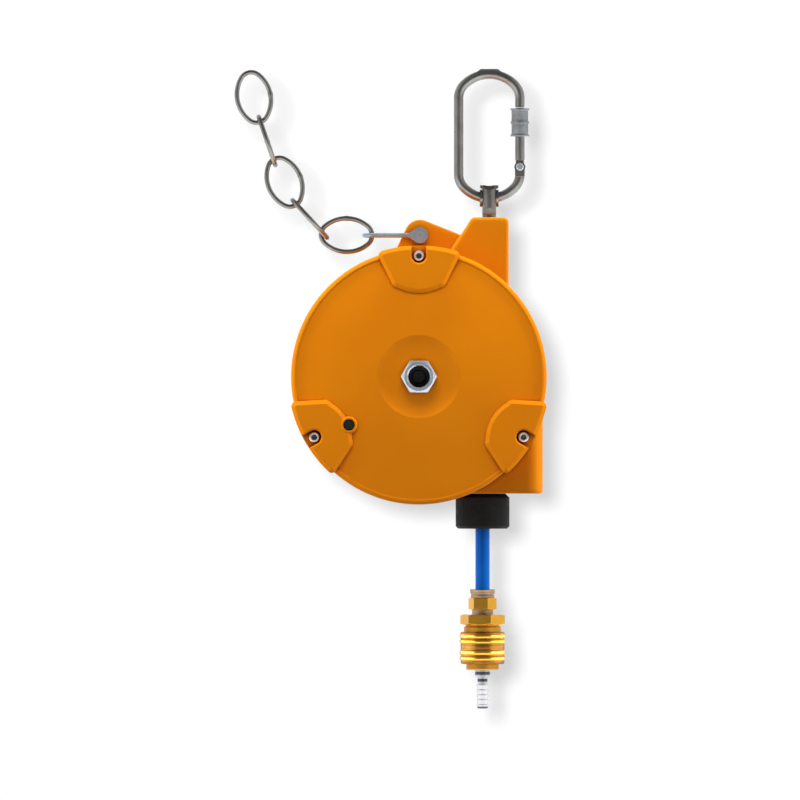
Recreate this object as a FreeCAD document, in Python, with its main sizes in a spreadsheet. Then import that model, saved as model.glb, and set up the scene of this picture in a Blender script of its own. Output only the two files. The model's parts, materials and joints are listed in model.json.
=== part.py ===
import FreeCAD, Part
import math
import os
import re

import Sketcher
from FreeCAD import Placement, Rotation, Vector

# A spring balancer with a built-in air hose, hung from a snap hook.
# The origin is where the hook rests on its support: the inner side of its upper bow. +Z is up, the front faces -Y,
# and Y = 0 is the plane of the hook, the swivel and the hose. Millimetres.

doc = FreeCAD.newDocument("HoseBalancer")
sheet = doc.addObject("Spreadsheet::Sheet", "Dimensions")

DIMENSIONS = {
    # drum axis, seen from the origin
    "drum_x": -44.2,
    "drum_z": -186.8,
    # casing, in distances from the drum axis and, fore and aft, from the plane of the hose
    "cover_radius": 80,
    "housing_radius": 77.7,
    "wall": 3,
    "split_front": 22,
    "housing_back": 40,
    "face_front": 43.5,
    "face_drop": 3.5,
    "seat_front": 41,
    "dish_radius": 26,
    "seat_radius": 13,
    "rim_bead": 3.2,
    "bead_height": 0.7,
    "pad_front": 44.6,
    "pad_radius": 82,
    "pad_bevel": 1.5,
    "pad_slope": 58,
    "pad_tip": 3,
    "edge_break": 0.8,
    "screw_circle": 75.6,
    "screw_pocket_width": 9,
    "screw_pocket_floor": 36.5,
    "screw_boss": 11,
    "screw_hole": 4.3,
    "screw_head": 6.4,
    "lock_x": -43.7,
    "lock_z": -30.2,
    "lock_boss": 10.7,
    "lock_pin_diameter": 7.1,
    "neck_top": 99.9,
    "neck_left": 33.3,
    "neck_right": 56.3,
    "neck_depth": 30,
    "block_right": 77.7,
    "block_bottom": -73.2,
    "block_depth": 42,
    "block_round": 9,
    "ear_x": 0.75,
    "ear_z": 88.7,
    "ear_radius": 9.8,
    "ear_thickness": 6,
    "ear_slope": 21.9,
    # swivel
    "shank_diameter": 8.6,
    "eye_width": 8.8,
    "eye_depth": 15.6,
    "eye_centre": -74.8,
    "eye_top": -67,
    "eye_foot": -85,
    "eye_hole": 5.2,
    "eye_bush_hole": 4.0,
    # snap hook
    "hook_wire": 6,
    "hook_half_width": 19.2,
    "hook_bottom": -74.8,
    "hook_corner": 12,
    "hook_rise": 15,
    "nose_end": -17.7,
    "gate_pivot": -55.2,
    "gate_top": -18.0,
    "lock_sleeve_diameter": 11.9,
    "lock_sleeve_top": -18.4,
    "lock_sleeve_length": 17.6,
    # axle, drum and spring
    "inlet_hex": 20,
    "inlet_bore": 13.16,
    "axle_diameter": 16,
    "axle_thread": 12,
    "running_gap": 0.05,
    "drum_hub": 20,
    "drum_flange_radius": 66,
    "hose_diameter": 9,
    "hose_wall": 1.5,
    "hose_radius": 40,
    "hose_pitch": 9.4,
    "hose_turns": 4,
    "cassette_radius": 61,
    "arbor_diameter": 26,
    "spring_turns": 8,
    "spring_strip": 1.1,
    "cassette_sheet": 1.2,
    "spring_width": 18,
    # hose end, in heights from the drum axis
    "buffer_diameter": 33.8,
    "buffer_height": 22.1,
    "ferrule_top": -133.4,
    "ferrule_diameter": 15.8,
    "nut_top": -139.3,
    "nut_across_corners": 17.8,
    "neck_piece_top": -146.1,
    "adapter_top": -149.2,
    "adapter_across_corners": 28.3,
    "body_top": -155.6,
    "body_diameter": 23.3,
    "sleeve_top": -160.1,
    "sleeve_bottom": -180.2,
    "sleeve_diameter": 29.1,
    "sleeve_rib": 1,
    "ball_radius": 2.8,
    "ball_ring": 7.35,
    "ball_height": -176.9,
    "body_end": -183.9,
    "body_end_diameter": 20.5,
    "plug_collar": -185.0,
    "plug_end": -208.4,
    "hex_turn": -9,
    # chain
    "chain_wire": 3,
    "link_half_length": 16,
    "link_half_width": 10.5,
    "link_end_radius": 7.2,
    "shackle_length": 34.9,
    "shackle_half_gap": 5.7,
    "chain_pin_diameter": 4,
}
for row, (alias, number) in enumerate(DIMENSIONS.items(), start=1):
    sheet.set(f"A{row}", alias)
    sheet.set(f"B{row}", str(number))
    sheet.setAlias(f"B{row}", alias)
doc.recompute()

FRONT = Vector(0, -1, 0)
UP = Vector(0, 0, 1)
RIGHT = Vector(1, 0, 0)


def size(expression):
    """The value of an expression made of the sheet's names."""
    return float(sheet.evalExpression(str(expression)))


def bound(expression):
    """The same expression as another object has to write it."""
    return re.sub(r"[a-z_]{3,}", lambda name: "Dimensions." + name.group(), str(expression))


def at_drum():
    return Placement(Vector(size("drum_x"), 0, size("drum_z")), Rotation())


# ---- small helpers: bodies, sketches and features -------------------------------------------------------------------

PARTS = []


def new_body(label, placement=None):
    body = doc.addObject("PartDesign::Body", label)
    body.Label = label
    body.Placement = placement or Placement()
    PARTS.append(body)
    return body


def origin_feature(body, role):
    return next(f for f in body.Origin.OriginFeatures if f.Role == role)


def new_sketch(body, plane, offset=0):
    """A sketch on one of the body's own planes, moved along that plane's normal by an expression."""
    sketch = body.newObject("Sketcher::SketchObject", body.Label + "_sketch")
    sketch.AttachmentSupport = (origin_feature(body, plane), [""])
    sketch.MapMode = "FlatFace"
    sketch.AttachmentOffset = Placement(Vector(0, 0, size(offset)), Rotation())
    sketch.setExpression(".AttachmentOffset.Base.z", bound(offset))
    return sketch


def corners(body, plane, points, offset=0):
    """A closed outline of straight lines, whose corners are pairs of expressions."""
    sketch = new_sketch(body, plane, offset)
    places = [Vector(size(x), size(y), 0) for x, y in points]
    count = len(places)
    for i in range(count):
        sketch.addGeometry(Part.LineSegment(places[i], places[(i + 1) % count]))
    for i in range(count):
        sketch.addConstraint(Sketcher.Constraint("Coincident", i, 2, (i + 1) % count, 1))
        for kind, axis, expression, number in (
            ("DistanceX", -2, points[i][0], places[i].x),
            ("DistanceY", -1, points[i][1], places[i].y),
        ):
            if abs(number) < 1e-9:
                sketch.addConstraint(Sketcher.Constraint("PointOnObject", i, 1, axis))
                continue
            index = sketch.addConstraint(Sketcher.Constraint(kind, -1, 1, i, 1, number))
            sketch.setExpression(f"Constraints[{index}]", bound(expression))
    return sketch


def circle(body, plane, centre, diameter, offset=0):
    """A round outline; its diameter is an expression."""
    sketch = new_sketch(body, plane, offset)
    place = Vector(size(centre[0]), size(centre[1]), 0)
    sketch.addGeometry(Part.Circle(place, UP, size(diameter) / 2))
    index = sketch.addConstraint(Sketcher.Constraint("Diameter", 0, size(diameter)))
    sketch.setExpression(f"Constraints[{index}]", bound(diameter))
    return sketch


def curved(body, plane, edges, offset=0):
    """An outline of lines (two points) and arcs (three points), in numbers worked out from the sheet."""
    sketch = new_sketch(body, plane, offset)
    for edge in edges:
        places = [Vector(x, y, 0) for x, y in edge]
        sketch.addGeometry(Part.LineSegment(*places) if len(places) == 2 else Part.Arc(*places))
    return sketch


def chained(*stops):
    """Edges through the stops; a stop that is a pair of points is an arc's middle and its end."""
    edges = []
    start = stops[0]
    for stop in stops[1:]:
        arc = isinstance(stop[0], tuple)
        edges.append((start, *stop) if arc else (start, stop))
        start = stop[-1] if arc else stop
    return edges


def polygon(body, plane, sides, across_flats, offset=0, turn=0.0):
    """A regular outline about the plane's origin."""
    radius = size(across_flats) / 2 / math.cos(math.pi / sides)
    ring = [turn + 2 * math.pi * i / sides for i in range(sides)]
    points = [(radius * math.cos(a), radius * math.sin(a)) for a in ring]
    return curved(body, plane, chained(*points, points[0]), offset)


def pad(body, sketch, length, symmetric=False, slope=None):
    """Material on a sketch; with a slope, its sides lean inwards by that angle from the upright."""
    feature = body.newObject("PartDesign::Pad", body.Label + "_pad")
    feature.Profile = sketch
    feature.Length = size(length)
    feature.setExpression("Length", bound(length))
    feature.Midplane = symmetric
    if slope is not None:
        feature.TaperAngle = -size(slope)
        feature.setExpression("TaperAngle", bound(f"-{slope}"))
    doc.recompute()
    return feature


def pocket(body, sketch, length, symmetric=False, reverse=False):
    before = body.Shape.Volume
    feature = body.newObject("PartDesign::Pocket", body.Label + "_pocket")
    feature.Profile = sketch
    feature.Length = size(length)
    feature.setExpression("Length", bound(length))
    feature.Midplane = symmetric
    feature.Reversed = reverse
    doc.recompute()
    assert body.Shape.Volume < before - 1e-3, f"{body.Label}: a pocket cuts nothing"
    return feature


def turned(body, sketch, kind="Revolution"):
    """A full turn of the sketch about its own vertical axis."""
    before = body.Shape.Volume if kind == "Groove" else None
    feature = body.newObject("PartDesign::" + kind, body.Label + "_turn")
    feature.Profile = sketch
    feature.ReferenceAxis = (sketch, ["V_Axis"])
    feature.Angle = 360
    doc.recompute()
    assert before is None or body.Shape.Volume < before - 1e-3, f"{body.Label}: a groove cuts nothing"
    return feature


def dress(body, kind, radius, chosen):
    """A Fillet or Chamfer on the edges of the body's last feature for which chosen(edge) is true."""
    base = body.Tip
    names = [f"Edge{i}" for i, edge in enumerate(base.Shape.Edges, start=1) if chosen(edge)]
    assert names, f"{body.Label}: no edge to dress"
    feature = body.newObject("PartDesign::" + kind, body.Label + "_" + kind.lower())
    feature.Base = (base, names)
    name = "Radius" if kind == "Fillet" else "Size"
    setattr(feature, name, size(radius))
    feature.setExpression(name, bound(radius))
    doc.recompute()
    assert "Invalid" not in feature.State and feature.Shape.isValid(), f"{body.Label}: {kind} failed"
    return feature


def pipe(body, profile, path):
    feature = body.newObject("PartDesign::AdditivePipe", body.Label + "_pipe")
    feature.Profile = (profile, [""])
    feature.Spine = (path, [""])
    doc.recompute()
    return feature


def ring(label, placement, profile):
    """A turned piece about the drum's axis: profile corners are (radius, distance along Y)."""
    body = new_body(label, placement)
    turned(body, corners(body, "XY_Plane", profile))
    return body


def spindle(label, placement, profile):
    """A turned piece about the vertical axis: profile corners are (radius, height)."""
    body = new_body(label, placement)
    turned(body, corners(body, "XZ_Plane", profile))
    return body


def polar_point(radius, degrees):
    angle = math.radians(degrees)
    return (radius * math.cos(angle), radius * math.sin(angle))


def spun(points, degrees):
    angle = math.radians(degrees)
    c, s = math.cos(angle), math.sin(angle)
    return [(x * c - y * s, x * s + y * c) for x, y in points]


# ---- casing ---------------------------------------------------------------------------------------------------------

PAD_ANGLES = (0, 120, 240)


def rounded_tip(start, end, outer, radius):
    """Rounds the corner of a line from start to end with the circle round the origin that end lies on."""
    run, rise = end[0] - start[0], end[1] - start[1]
    length = math.hypot(run, rise)
    along, inward = (run / length, rise / length), (-rise / length, run / length)
    shifted = (start[0] + radius * inward[0], start[1] + radius * inward[1])
    b = shifted[0] * along[0] + shifted[1] * along[1]
    c = shifted[0] ** 2 + shifted[1] ** 2 - (outer - radius) ** 2
    reach = -b + math.sqrt(b * b - c)
    centre = (shifted[0] + reach * along[0], shifted[1] + reach * along[1])
    out = (centre[0] / (outer - radius), centre[1] / (outer - radius))
    lean = (out[0] - inward[0], out[1] - inward[1])
    middle = math.hypot(*lean)
    return (
        (centre[0] - radius * inward[0], centre[1] - radius * inward[1]),
        (centre[0] + radius * lean[0] / middle, centre[1] + radius * lean[1] / middle),
        (centre[0] + radius * out[0], centre[1] + radius * out[1]),
    )


def pad_outline(turn):
    """A screw pad: its sides run together inwards, its inner end bulges towards the axis, its tips are round."""
    outer = size("pad_radius")
    right = [(13.1, 55.7), (15.7, 56.8), (17.2, 59), *rounded_tip((17.2, 59), (26.5, 77.6), outer, size("pad_tip"))]
    inner, bend, side, tip, tip_middle, rim = (spun([point], turn)[0] for point in right)
    inner_l, bend_l, side_l, tip_l, tip_middle_l, rim_l = (spun([(-x, y)], turn)[0] for x, y in right)
    top, low = spun([(0, outer), (0, 52.3)], turn)
    return chained(rim_l, (top, rim), (tip_middle, tip), side, (bend, inner), (low, inner_l), (bend_l, side_l), tip_l,
                   (tip_middle_l, rim_l))


def lies_at(front):
    """Picks the edges in the plane that lies so far in front of the hose's plane."""
    return lambda edge: abs(edge.BoundBox.YMin + front) < 1e-4 and abs(edge.BoundBox.YMax + front) < 1e-4


def near(edge, centre, reach):
    """True on an edge no point of whose box is further than reach from a centre, seen from the front."""
    box = edge.BoundBox
    return max(abs(box.XMin - centre[0]), abs(box.XMax - centre[0]), abs(box.ZMin - centre[1]),
               abs(box.ZMax - centre[1])) < reach


def front_cover():
    """A cast cover: a low dome with a dish round the inlet, a beaded rim, a skirt, and three pads on screw lugs."""
    body = new_body("front_cover", at_drum())
    radius, wall, face, seat = size("cover_radius"), size("wall"), size("face_front"), size("seat_front")
    split = size("split_front")
    edge = face - size("face_drop")
    foot = radius - size("rim_bead")
    crest = -edge - size("bead_height")
    shoulder = foot + 0.5
    bead = radius - shoulder
    bore = size("axle_diameter") / 2 + 1.1
    dish, flat = size("dish_radius"), size("seat_radius")
    skirt = radius - wall - 0.5
    outline = chained(
        (bore, -seat), (flat, -seat),
        ((flat + 0.55 * (dish - flat), -seat - 0.6), (dish, -face)),
        ((0.55 * radius, -face + 0.9), (foot, -edge)), (shoulder, crest),
        ((shoulder + bead * math.sin(math.pi / 4), crest + bead * (1 - math.cos(math.pi / 4))), (radius, crest + bead)),
        (radius, -split), (skirt, -split), (skirt, -edge + wall + 1),
        (skirt - 2, -edge + wall - 0.6), (dish, -face + wall), (flat + 2.5, -seat + wall),
        (flat + 1, -seat + 4.5), (bore, -seat + 4.5), (bore, -seat),
    )
    turned(body, curved(body, "XY_Plane", outline))

    for turn in PAD_ANGLES:
        outline = pad_outline(turn)
        pad(body, curved(body, "XZ_Plane", outline, "face_front - 5"), "pad_front - face_front + 5 - pad_bevel")
        pad(body, curved(body, "XZ_Plane", outline, "pad_front - pad_bevel"), "pad_bevel", slope="pad_slope")
    for turn in PAD_ANGLES:
        inner = size("cover_radius") - 1.5
        half = math.degrees(math.asin(23.5 / size("pad_radius")))
        ends = [polar_point(r, 90 + turn + s * half) for r in (size("pad_radius"), inner) for s in (1, -1)]
        tops = [polar_point(r, 90 + turn) for r in (size("pad_radius"), inner)]
        lug = chained(ends[0], (tops[0], ends[1]), ends[3], (tops[1], ends[2]), ends[0])
        pad(body, curved(body, "XZ_Plane", lug, "split_front"), "face_front - split_front - 1")
        centre = polar_point(size("screw_circle"), 90 + turn)
        pad(body, circle(body, "XZ_Plane", centre, "screw_boss", "split_front"), "face_front - split_front - 2")

    half = size("screw_pocket_width") / 2
    for turn in PAD_ANGLES:
        low, high = size("screw_circle"), size("pad_radius") + 5
        points = spun([(-half, high), (-half, low), (0, low - half), (half, low), (half, high)], turn)
        slot = chained(points[0], points[1], (points[2], points[3]), points[4], points[0])
        pocket(body, curved(body, "XZ_Plane", slot, "pad_front + 5"), "pad_front + 5 - screw_pocket_floor")
        centre = polar_point(size("screw_circle"), 90 + turn)
        pocket(body, circle(body, "XZ_Plane", centre, "screw_hole", "pad_front + 5"), "pad_front + 5 - split_front + 1")

    centre = ("lock_x", "lock_z")
    rise = "face_front + 1.5 - edge_break"
    pad(body, circle(body, "XZ_Plane", centre, "lock_boss", "face_front - 5.5"), "7 - edge_break")
    pad(body, circle(body, "XZ_Plane", centre, "lock_boss", rise), "edge_break", slope="45")
    pocket(body, circle(body, "XZ_Plane", centre, "lock_pin_diameter + 2 * running_gap", "pad_front + 5"), "20")
    pockets = [polar_point(size("screw_circle"), 90 + turn) for turn in PAD_ANGLES]
    top = lies_at(size("pad_front"))
    dress(body, "Chamfer", "edge_break", lambda edge: top(edge) and any(near(edge, c, 5.5) for c in pockets))
    return body


def cover_screws():
    """Three M4 socket-head screws."""
    body = new_body("cover_screws", at_drum())
    for turn in PAD_ANGLES:
        centre = polar_point(size("screw_circle"), 90 + turn)
        pad(body, circle(body, "XZ_Plane", centre, "screw_head", "screw_pocket_floor"), "4")
        pad(body, circle(body, "XZ_Plane", centre, "3.9", "screw_pocket_floor - 24"), "24")
        points = [(centre[0] + x, centre[1] + y) for x, y in hexagon(3)]
        pocket(body, curved(body, "XZ_Plane", chained(*points, points[0]), "screw_pocket_floor + 5"), "3")
    return body


def hexagon(across_flats, turn=0.0):
    radius = across_flats / 2 / math.cos(math.pi / 6)
    return [polar_point(radius, turn + 60 * i) for i in range(6)]


def rear_housing():
    """A cast drum casing with a hanger neck, a chain ear and the hose outlet block."""
    body = new_body("rear_housing", at_drum())
    turned(body, corners(body, "XY_Plane", [
        ("axle_thread / 2 + 0.1", "housing_back"), ("housing_radius - 6", "housing_back"),
        ("housing_radius", "housing_back - 6"), ("housing_radius", "-split_front"),
        ("housing_radius - wall", "-split_front"), ("housing_radius - wall", "housing_back - 7"),
        ("housing_radius - 7", "housing_back - wall"), ("16", "housing_back - wall"),
        ("14", "housing_back - 7"), ("axle_thread / 2 + 0.1", "housing_back - 7"),
    ]))
    root = size("housing_radius") - 1.7

    def on_root(x, above=True):
        return (x, math.sqrt(root**2 - x**2) * (1 if above else -1))

    top, left, right = size("neck_top"), size("neck_left"), size("neck_right")
    half = "neck_depth / 2"
    neck = chained(on_root(right), (right, top), (left, top), on_root(16.85), (on_root(36), on_root(right)))
    pad(body, curved(body, "XZ_Plane", neck, "-neck_depth / 2"), "neck_depth")

    ear_x, ear_z, ear = size("ear_x"), size("ear_z"), size("ear_radius")
    slope = size("ear_slope")
    crown = tuple(a + b for a, b in zip((ear_x, ear_z), polar_point(ear, 90 - slope)))
    shoulder = tuple(a + b for a, b in zip((ear_x, ear_z), polar_point(ear, 154.3)))
    middle = tuple(a + b for a, b in zip((ear_x, ear_z), polar_point(ear, 110)))
    run = 30
    far = (crown[0] + run * math.cos(math.radians(slope)), crown[1] - run * math.sin(math.radians(slope)))
    outline = chained(shoulder, (middle, crown), far, on_root(34), (on_root(8), on_root(-17)), shoulder)
    pad(body, curved(body, "XZ_Plane", outline, "-ear_thickness / 2"), "ear_thickness")

    side, bottom = size("block_right"), size("block_bottom")
    low = (math.sqrt(root**2 - bottom**2), bottom)
    block = chained((side, -6), (side, bottom), low, (polar_point(root, -38), (math.sqrt(root**2 - 36), -6)), (side, -6))
    pad(body, curved(body, "XZ_Plane", block, "-block_depth / 2"), "block_depth")

    depth = size("block_depth") / 2
    dress(body, "Fillet", "block_round", lambda e: e.BoundBox.XMin > side - 1e-3 and e.BoundBox.ZMin < bottom + 1
          and e.BoundBox.ZLength > 40 and abs(abs(e.BoundBox.Center.y) - depth) < 1e-3)
    dress(body, "Fillet", "3.4", lambda e: e.BoundBox.YLength > 20 and e.BoundBox.ZMin > top - 0.01)
    dress(body, "Fillet", "2", lambda e: abs(e.BoundBox.ZMin - bottom) < 1e-3 and abs(e.BoundBox.ZMax - bottom) < 1e-3
          and e.BoundBox.XMax > 60)
    def outside_drum(edge):
        """True on an edge that stands clear of the round casing, or only ends on it."""
        ends = [edge.valueAt(edge.FirstParameter), edge.valueAt(edge.LastParameter)]
        return min(math.hypot(p.x, p.z) for p in ends) > size("housing_radius") - 0.01

    for face in (-1, 1):
        y = face * size(half)
        dress(body, "Fillet", "1.8", lambda e: abs(e.BoundBox.YMin - y) < 1e-3 and abs(e.BoundBox.YMax - y) < 1e-3
              and outside_drum(e) and e.BoundBox.ZMin > 50)
    for face in (-1, 1):
        y = face * size("ear_thickness") / 2
        dress(body, "Fillet", "0.9", lambda e: abs(e.BoundBox.YMin - y) < 1e-3 and abs(e.BoundBox.YMax - y) < 1e-3
              and outside_drum(e) and e.BoundBox.ZMax > 81)

    for turn in PAD_ANGLES:
        centre = polar_point(size("screw_circle"), 90 + turn)
        pad(body, circle(body, "XZ_Plane", centre, "screw_boss + 1", "split_front - 16"), "16")
    for turn in PAD_ANGLES:
        centre = polar_point(size("screw_circle"), 90 + turn)
        pocket(body, circle(body, "XZ_Plane", centre, "3.9", "split_front + 1"), "15")

    shank_x = -size("drum_x")
    cavity = chained((shank_x - 9, 58), (shank_x + 9, 58), (shank_x + 9, 88), (shank_x - 9, 88), (shank_x - 9, 58))
    pocket(body, curved(body, "XZ_Plane", cavity), "20", symmetric=True)
    pocket(body, circle(body, "XY_Plane", (shank_x, 0), "12", "neck_top + 1"), "14")

    hose = size("hose_radius")
    chamber = chained((24, bottom + 6.5), (side - 3.5, bottom + 6.5), (side - 3.5, -9), (60, -9), (24, -56), (24, bottom + 6.5))
    pocket(body, curved(body, "XZ_Plane", chamber), "block_depth - 9", symmetric=True)
    pocket(body, circle(body, "XY_Plane", (hose, 0), "20", "block_bottom - 1"), "12", reverse=True)
    pocket(body, circle(body, "XZ_Plane", ("ear_x", "ear_z"), "chain_pin_diameter + 2 * running_gap"), "20", symmetric=True)
    return body


def inlet_axle():
    """The fixed hollow axle: a spanner hexagon with the air thread in front, a bearing journal, a rear thread."""
    body = ring("inlet_axle", at_drum(), [
        ("0", "-seat_front"), ("axle_diameter / 2 + 1", "-seat_front"), ("axle_diameter / 2 + 1", "-seat_front + 6.5"),
        ("axle_diameter / 2", "-seat_front + 6.5"), ("axle_diameter / 2", "housing_back - 7"),
        ("axle_thread / 2", "housing_back - 7"), ("axle_thread / 2", "housing_back + 9"), ("0", "housing_back + 9"),
    ])
    pad(body, polygon(body, "XZ_Plane", 6, "inlet_hex", "seat_front"), "8.5")
    tip = -size("seat_front") - 8.5
    dress(body, "Chamfer", "0.9", lambda e: abs(e.BoundBox.YMin - tip) < 1e-4 and abs(e.BoundBox.YMax - tip) < 1e-4)
    pocket(body, circle(body, "XZ_Plane", (0, 0), "inlet_bore", "seat_front + 12"), "15.5")
    pocket(body, circle(body, "XZ_Plane", (0, 0), "9", "seat_front + 12"), "19.5")
    pocket(body, circle(body, "XZ_Plane", (0, 0), "7.5", "seat_front + 12"), "40")
    pocket(body, circle(body, "XY_Plane", (0, 14.5), "5", "-20"), "40", reverse=True)
    return body


def casing_fittings():
    """What is fixed in the casing: inlet strainer, rear nut and washer, spring arbor, hose guide, swivel bush."""
    strainer = ring("inlet_strainer", at_drum(), [
        ("0", "-seat_front + 7.5"), ("4.5", "-seat_front + 7.5"), ("4.5", "-seat_front + 5"), ("3.8", "-seat_front + 4.2"),
        ("0", "-seat_front + 4.2"),
    ])
    nut = new_body("axle_nut", at_drum())
    pad(nut, polygon(nut, "XZ_Plane", 6, "18", "-housing_back - 7.5"), "6")
    pocket(nut, circle(nut, "XZ_Plane", (0, 0), "axle_thread + 0.1"), "60", reverse=False)
    ring("axle_washer", at_drum(), [
        ("axle_thread / 2 + 0.2", "housing_back"), ("11.5", "housing_back"), ("11.5", "housing_back + 1.5"),
        ("axle_thread / 2 + 0.2", "housing_back + 1.5"),
    ])
    ring("spring_arbor", at_drum(), [
        ("axle_diameter / 2", "10.5"), ("arbor_diameter / 2", "10.5"), ("arbor_diameter / 2", "housing_back - 7.5"),
        ("axle_diameter / 2", "housing_back - 7.5"),
    ])
    hose = Placement(Vector(size("drum_x + hose_radius"), 0, size("drum_z")), Rotation())
    spindle("outlet_bush", hose, [
        ("4.8", "block_bottom + 0.1"), ("10", "block_bottom + 0.1"), ("10", "block_bottom + 6.5"),
        ("13", "block_bottom + 6.5"), ("13", "block_bottom + 8.5"), ("7", "block_bottom + 8.5"),
        ("4.8", "block_bottom + 5"),
    ])
    spindle("swivel_bush", Placement(Vector(0, 0, size("drum_z")), Rotation()), [
        ("shank_diameter / 2 + running_gap", "neck_top - 0.6"), ("6", "neck_top - 0.6"), ("6", "88"), ("8", "88"),
        ("8", "86.5"), ("shank_diameter / 2 + running_gap", "86.5"),
    ])
    return strainer


def hose_tube(label, top, bottom):
    """A straight length of hose, with its bore."""
    hose = Placement(Vector(size("drum_x + hose_radius"), 0, size("drum_z")), Rotation())
    return spindle(label, hose, [
        ("hose_diameter / 2 - hose_wall", bottom), ("hose_diameter / 2", bottom), ("hose_diameter / 2", top),
        ("hose_diameter / 2 - hose_wall", top),
    ])


# ---- drum -----------------------------------------------------------------------------------------------------------


def hose_drum():
    """Hub, web and grooved rim in one casting with the front flange, which has six holes for the lock pin."""
    body = new_body("hose_drum", at_drum())
    barrel = size("hose_radius - hose_diameter / 2")
    first, pitch = size("-hose_pitch * (hose_turns - 1)"), size("hose_pitch")
    groove = size("hose_diameter") / 2 + 0.1
    back = size("hose_diameter") / 2 + 0.5
    rim = barrel + 2
    stops = []
    half = math.sqrt(groove**2 - (groove - 2) ** 2)
    for turn in range(int(size("hose_turns"))):
        y = first + pitch * turn
        stops += [(rim, y - half), ((barrel - 0.1, y), (rim, y + half))]
    flange = first - size("hose_diameter") / 2 - 0.6
    front, inside, hub, bore = flange - 2.5, barrel - 6.5, 14.5, size("drum_hub") / 2
    web_front, web_back = -19, -10
    outline = chained(
        (bore, front), (hub, front), (hub, web_front), (inside, web_front), (inside, front),
        (size("drum_flange_radius"), front), (size("drum_flange_radius"), flange), (rim, flange), *stops, (rim, back),
        (inside, back), (inside, web_back), (hub, web_back), (hub, back), (bore, back), (bore, front),
    )
    turned(body, curved(body, "XY_Plane", outline))
    reach = math.hypot(size("lock_x"), size("lock_z"))
    start = math.degrees(math.atan2(size("lock_z"), size("lock_x")))
    for step in range(6):
        centre = polar_point(reach, start + 60 * step)
        pocket(body, circle(body, "XZ_Plane", centre, "lock_pin_diameter + 1.2", "45"), "15")
    pocket(body, circle(body, "YZ_Plane", (-14.5, 0), "6", "5"), "40", reverse=True)
    for centre in CASSETTE_SCREWS:
        pocket(body, circle(body, "XZ_Plane", centre, "3", -back - 1), "11", reverse=True)
    return body


CASSETTE_SCREWS = [polar_point(32.2, 45 + 90 * i) for i in range(4)]


def drum_pieces():
    drum_back = "hose_diameter / 2 + 0.5"
    flange = ring("drum_flange", at_drum(), [
        ("10", drum_back), ("drum_flange_radius", drum_back), ("drum_flange_radius", drum_back + " + 2"),
        ("10", drum_back + " + 2"),
    ])
    bushes = new_body("drum_bushes", at_drum())
    for front, rear in ((-34, -26), (-2, 5)):
        turned(bushes, corners(bushes, "XY_Plane", [
            ("axle_diameter / 2 + running_gap", front), ("drum_hub / 2", front), ("drum_hub / 2", rear),
            ("axle_diameter / 2 + running_gap", rear),
        ]))
    seals = new_body("rotary_seals", at_drum())
    for front in (-22, -10):
        turned(seals, corners(seals, "XY_Plane", [
            ("axle_diameter / 2 + running_gap", front), ("drum_hub / 2", front), ("drum_hub / 2", front + 3),
            ("axle_diameter / 2 + running_gap", front + 3),
        ]))
    cassette = ring("spring_cassette", at_drum(), [
        ("15", drum_back + " + 2"), ("cassette_radius", drum_back + " + 2"), ("cassette_radius", "30"),
        ("cassette_radius - cassette_sheet", "30"), ("cassette_radius - cassette_sheet", drum_back + " + 2 + cassette_sheet"),
        ("15", drum_back + " + 2 + cassette_sheet"),
    ])
    for plate in (flange, cassette):
        for centre in CASSETTE_SCREWS:
            pocket(plate, circle(plate, "XZ_Plane", centre, "3", "-12"), "10", reverse=True)
    screws = new_body("cassette_screws", at_drum())
    for centre in CASSETTE_SCREWS:
        pad(screws, circle(screws, "XZ_Plane", centre, "3", "-8.2"), "11.7")
        pad(screws, circle(screws, "XZ_Plane", centre, "5.5", "-10.1"), "1.9")
    ring("cassette_cover", at_drum(), [
        ("15", "30"), ("cassette_radius", "30"), ("cassette_radius", "30 + cassette_sheet"), ("15", "30 + cassette_sheet"),
    ])
    tail = new_body("hose_tail", Placement(Vector(size("drum_x"), -14.5, size("drum_z")), Rotation(RIGHT, 0)))
    pad(tail, circle(tail, "YZ_Plane", (0, 0), "5.9", "15"), "20")
    pocket(tail, circle(tail, "YZ_Plane", (0, 0), "3.5", "10"), "40", reverse=True)
    return cassette


def hose_coil():
    """The hose wound on the drum, one turn beside the next, as the drum carries it."""
    body = new_body("hose_coil", at_drum())
    for turn in range(int(size("hose_turns"))):
        turned(body, circle(body, "XY_Plane", ("hose_radius", -size("hose_pitch") * turn), "hose_diameter"))
    return body


def power_spring():
    """A spiral strip between the arbor and the cassette wall, made of half turns about two centres."""
    body = new_body("power_spring", at_drum())
    start = size("arbor_diameter") / 2 + 0.3
    turns = int(size("spring_turns"))
    pitch = (size("cassette_radius") - 1.8 - start - size("spring_strip")) / turns

    def spiral(radius):
        stops = [(radius, 0)]
        for half in range(2 * turns):
            sign = 1 if half % 2 == 0 else -1
            reach = radius + half * pitch / 2
            centre = (-sign * pitch / 4, 0)
            arc_radius = reach + pitch / 4
            stops.append(((centre[0], sign * arc_radius), (centre[0] - sign * arc_radius, 0)))
        return stops

    inner, outer = spiral(start), spiral(start + size("spring_strip"))
    back = [outer[-1][1]]
    for i in range(len(outer) - 1, 0, -1):
        before = outer[i - 1][-1] if i > 1 else outer[0]
        back.append((outer[i][0], before))
    sketch = curved(body, "XZ_Plane", chained(*inner, *back, inner[0]), "-11.5 - spring_width")
    pad(body, sketch, "spring_width")
    return body


def lock_pin():
    """The pin that holds the drum still: pushed in, it enters a hole of the drum's flange."""
    body = new_body("lock_pin", at_drum())
    front, back = size("face_front"), 37.6
    pad(body, circle(body, "XZ_Plane", ("lock_x", "lock_z"), "lock_pin_diameter", back), front - back)
    dress(body, "Chamfer", "0.5", lambda e: e.BoundBox.YLength < 1e-3)
    return body


# ---- swivel ---------------------------------------------------------------------------------------------------------


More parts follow.
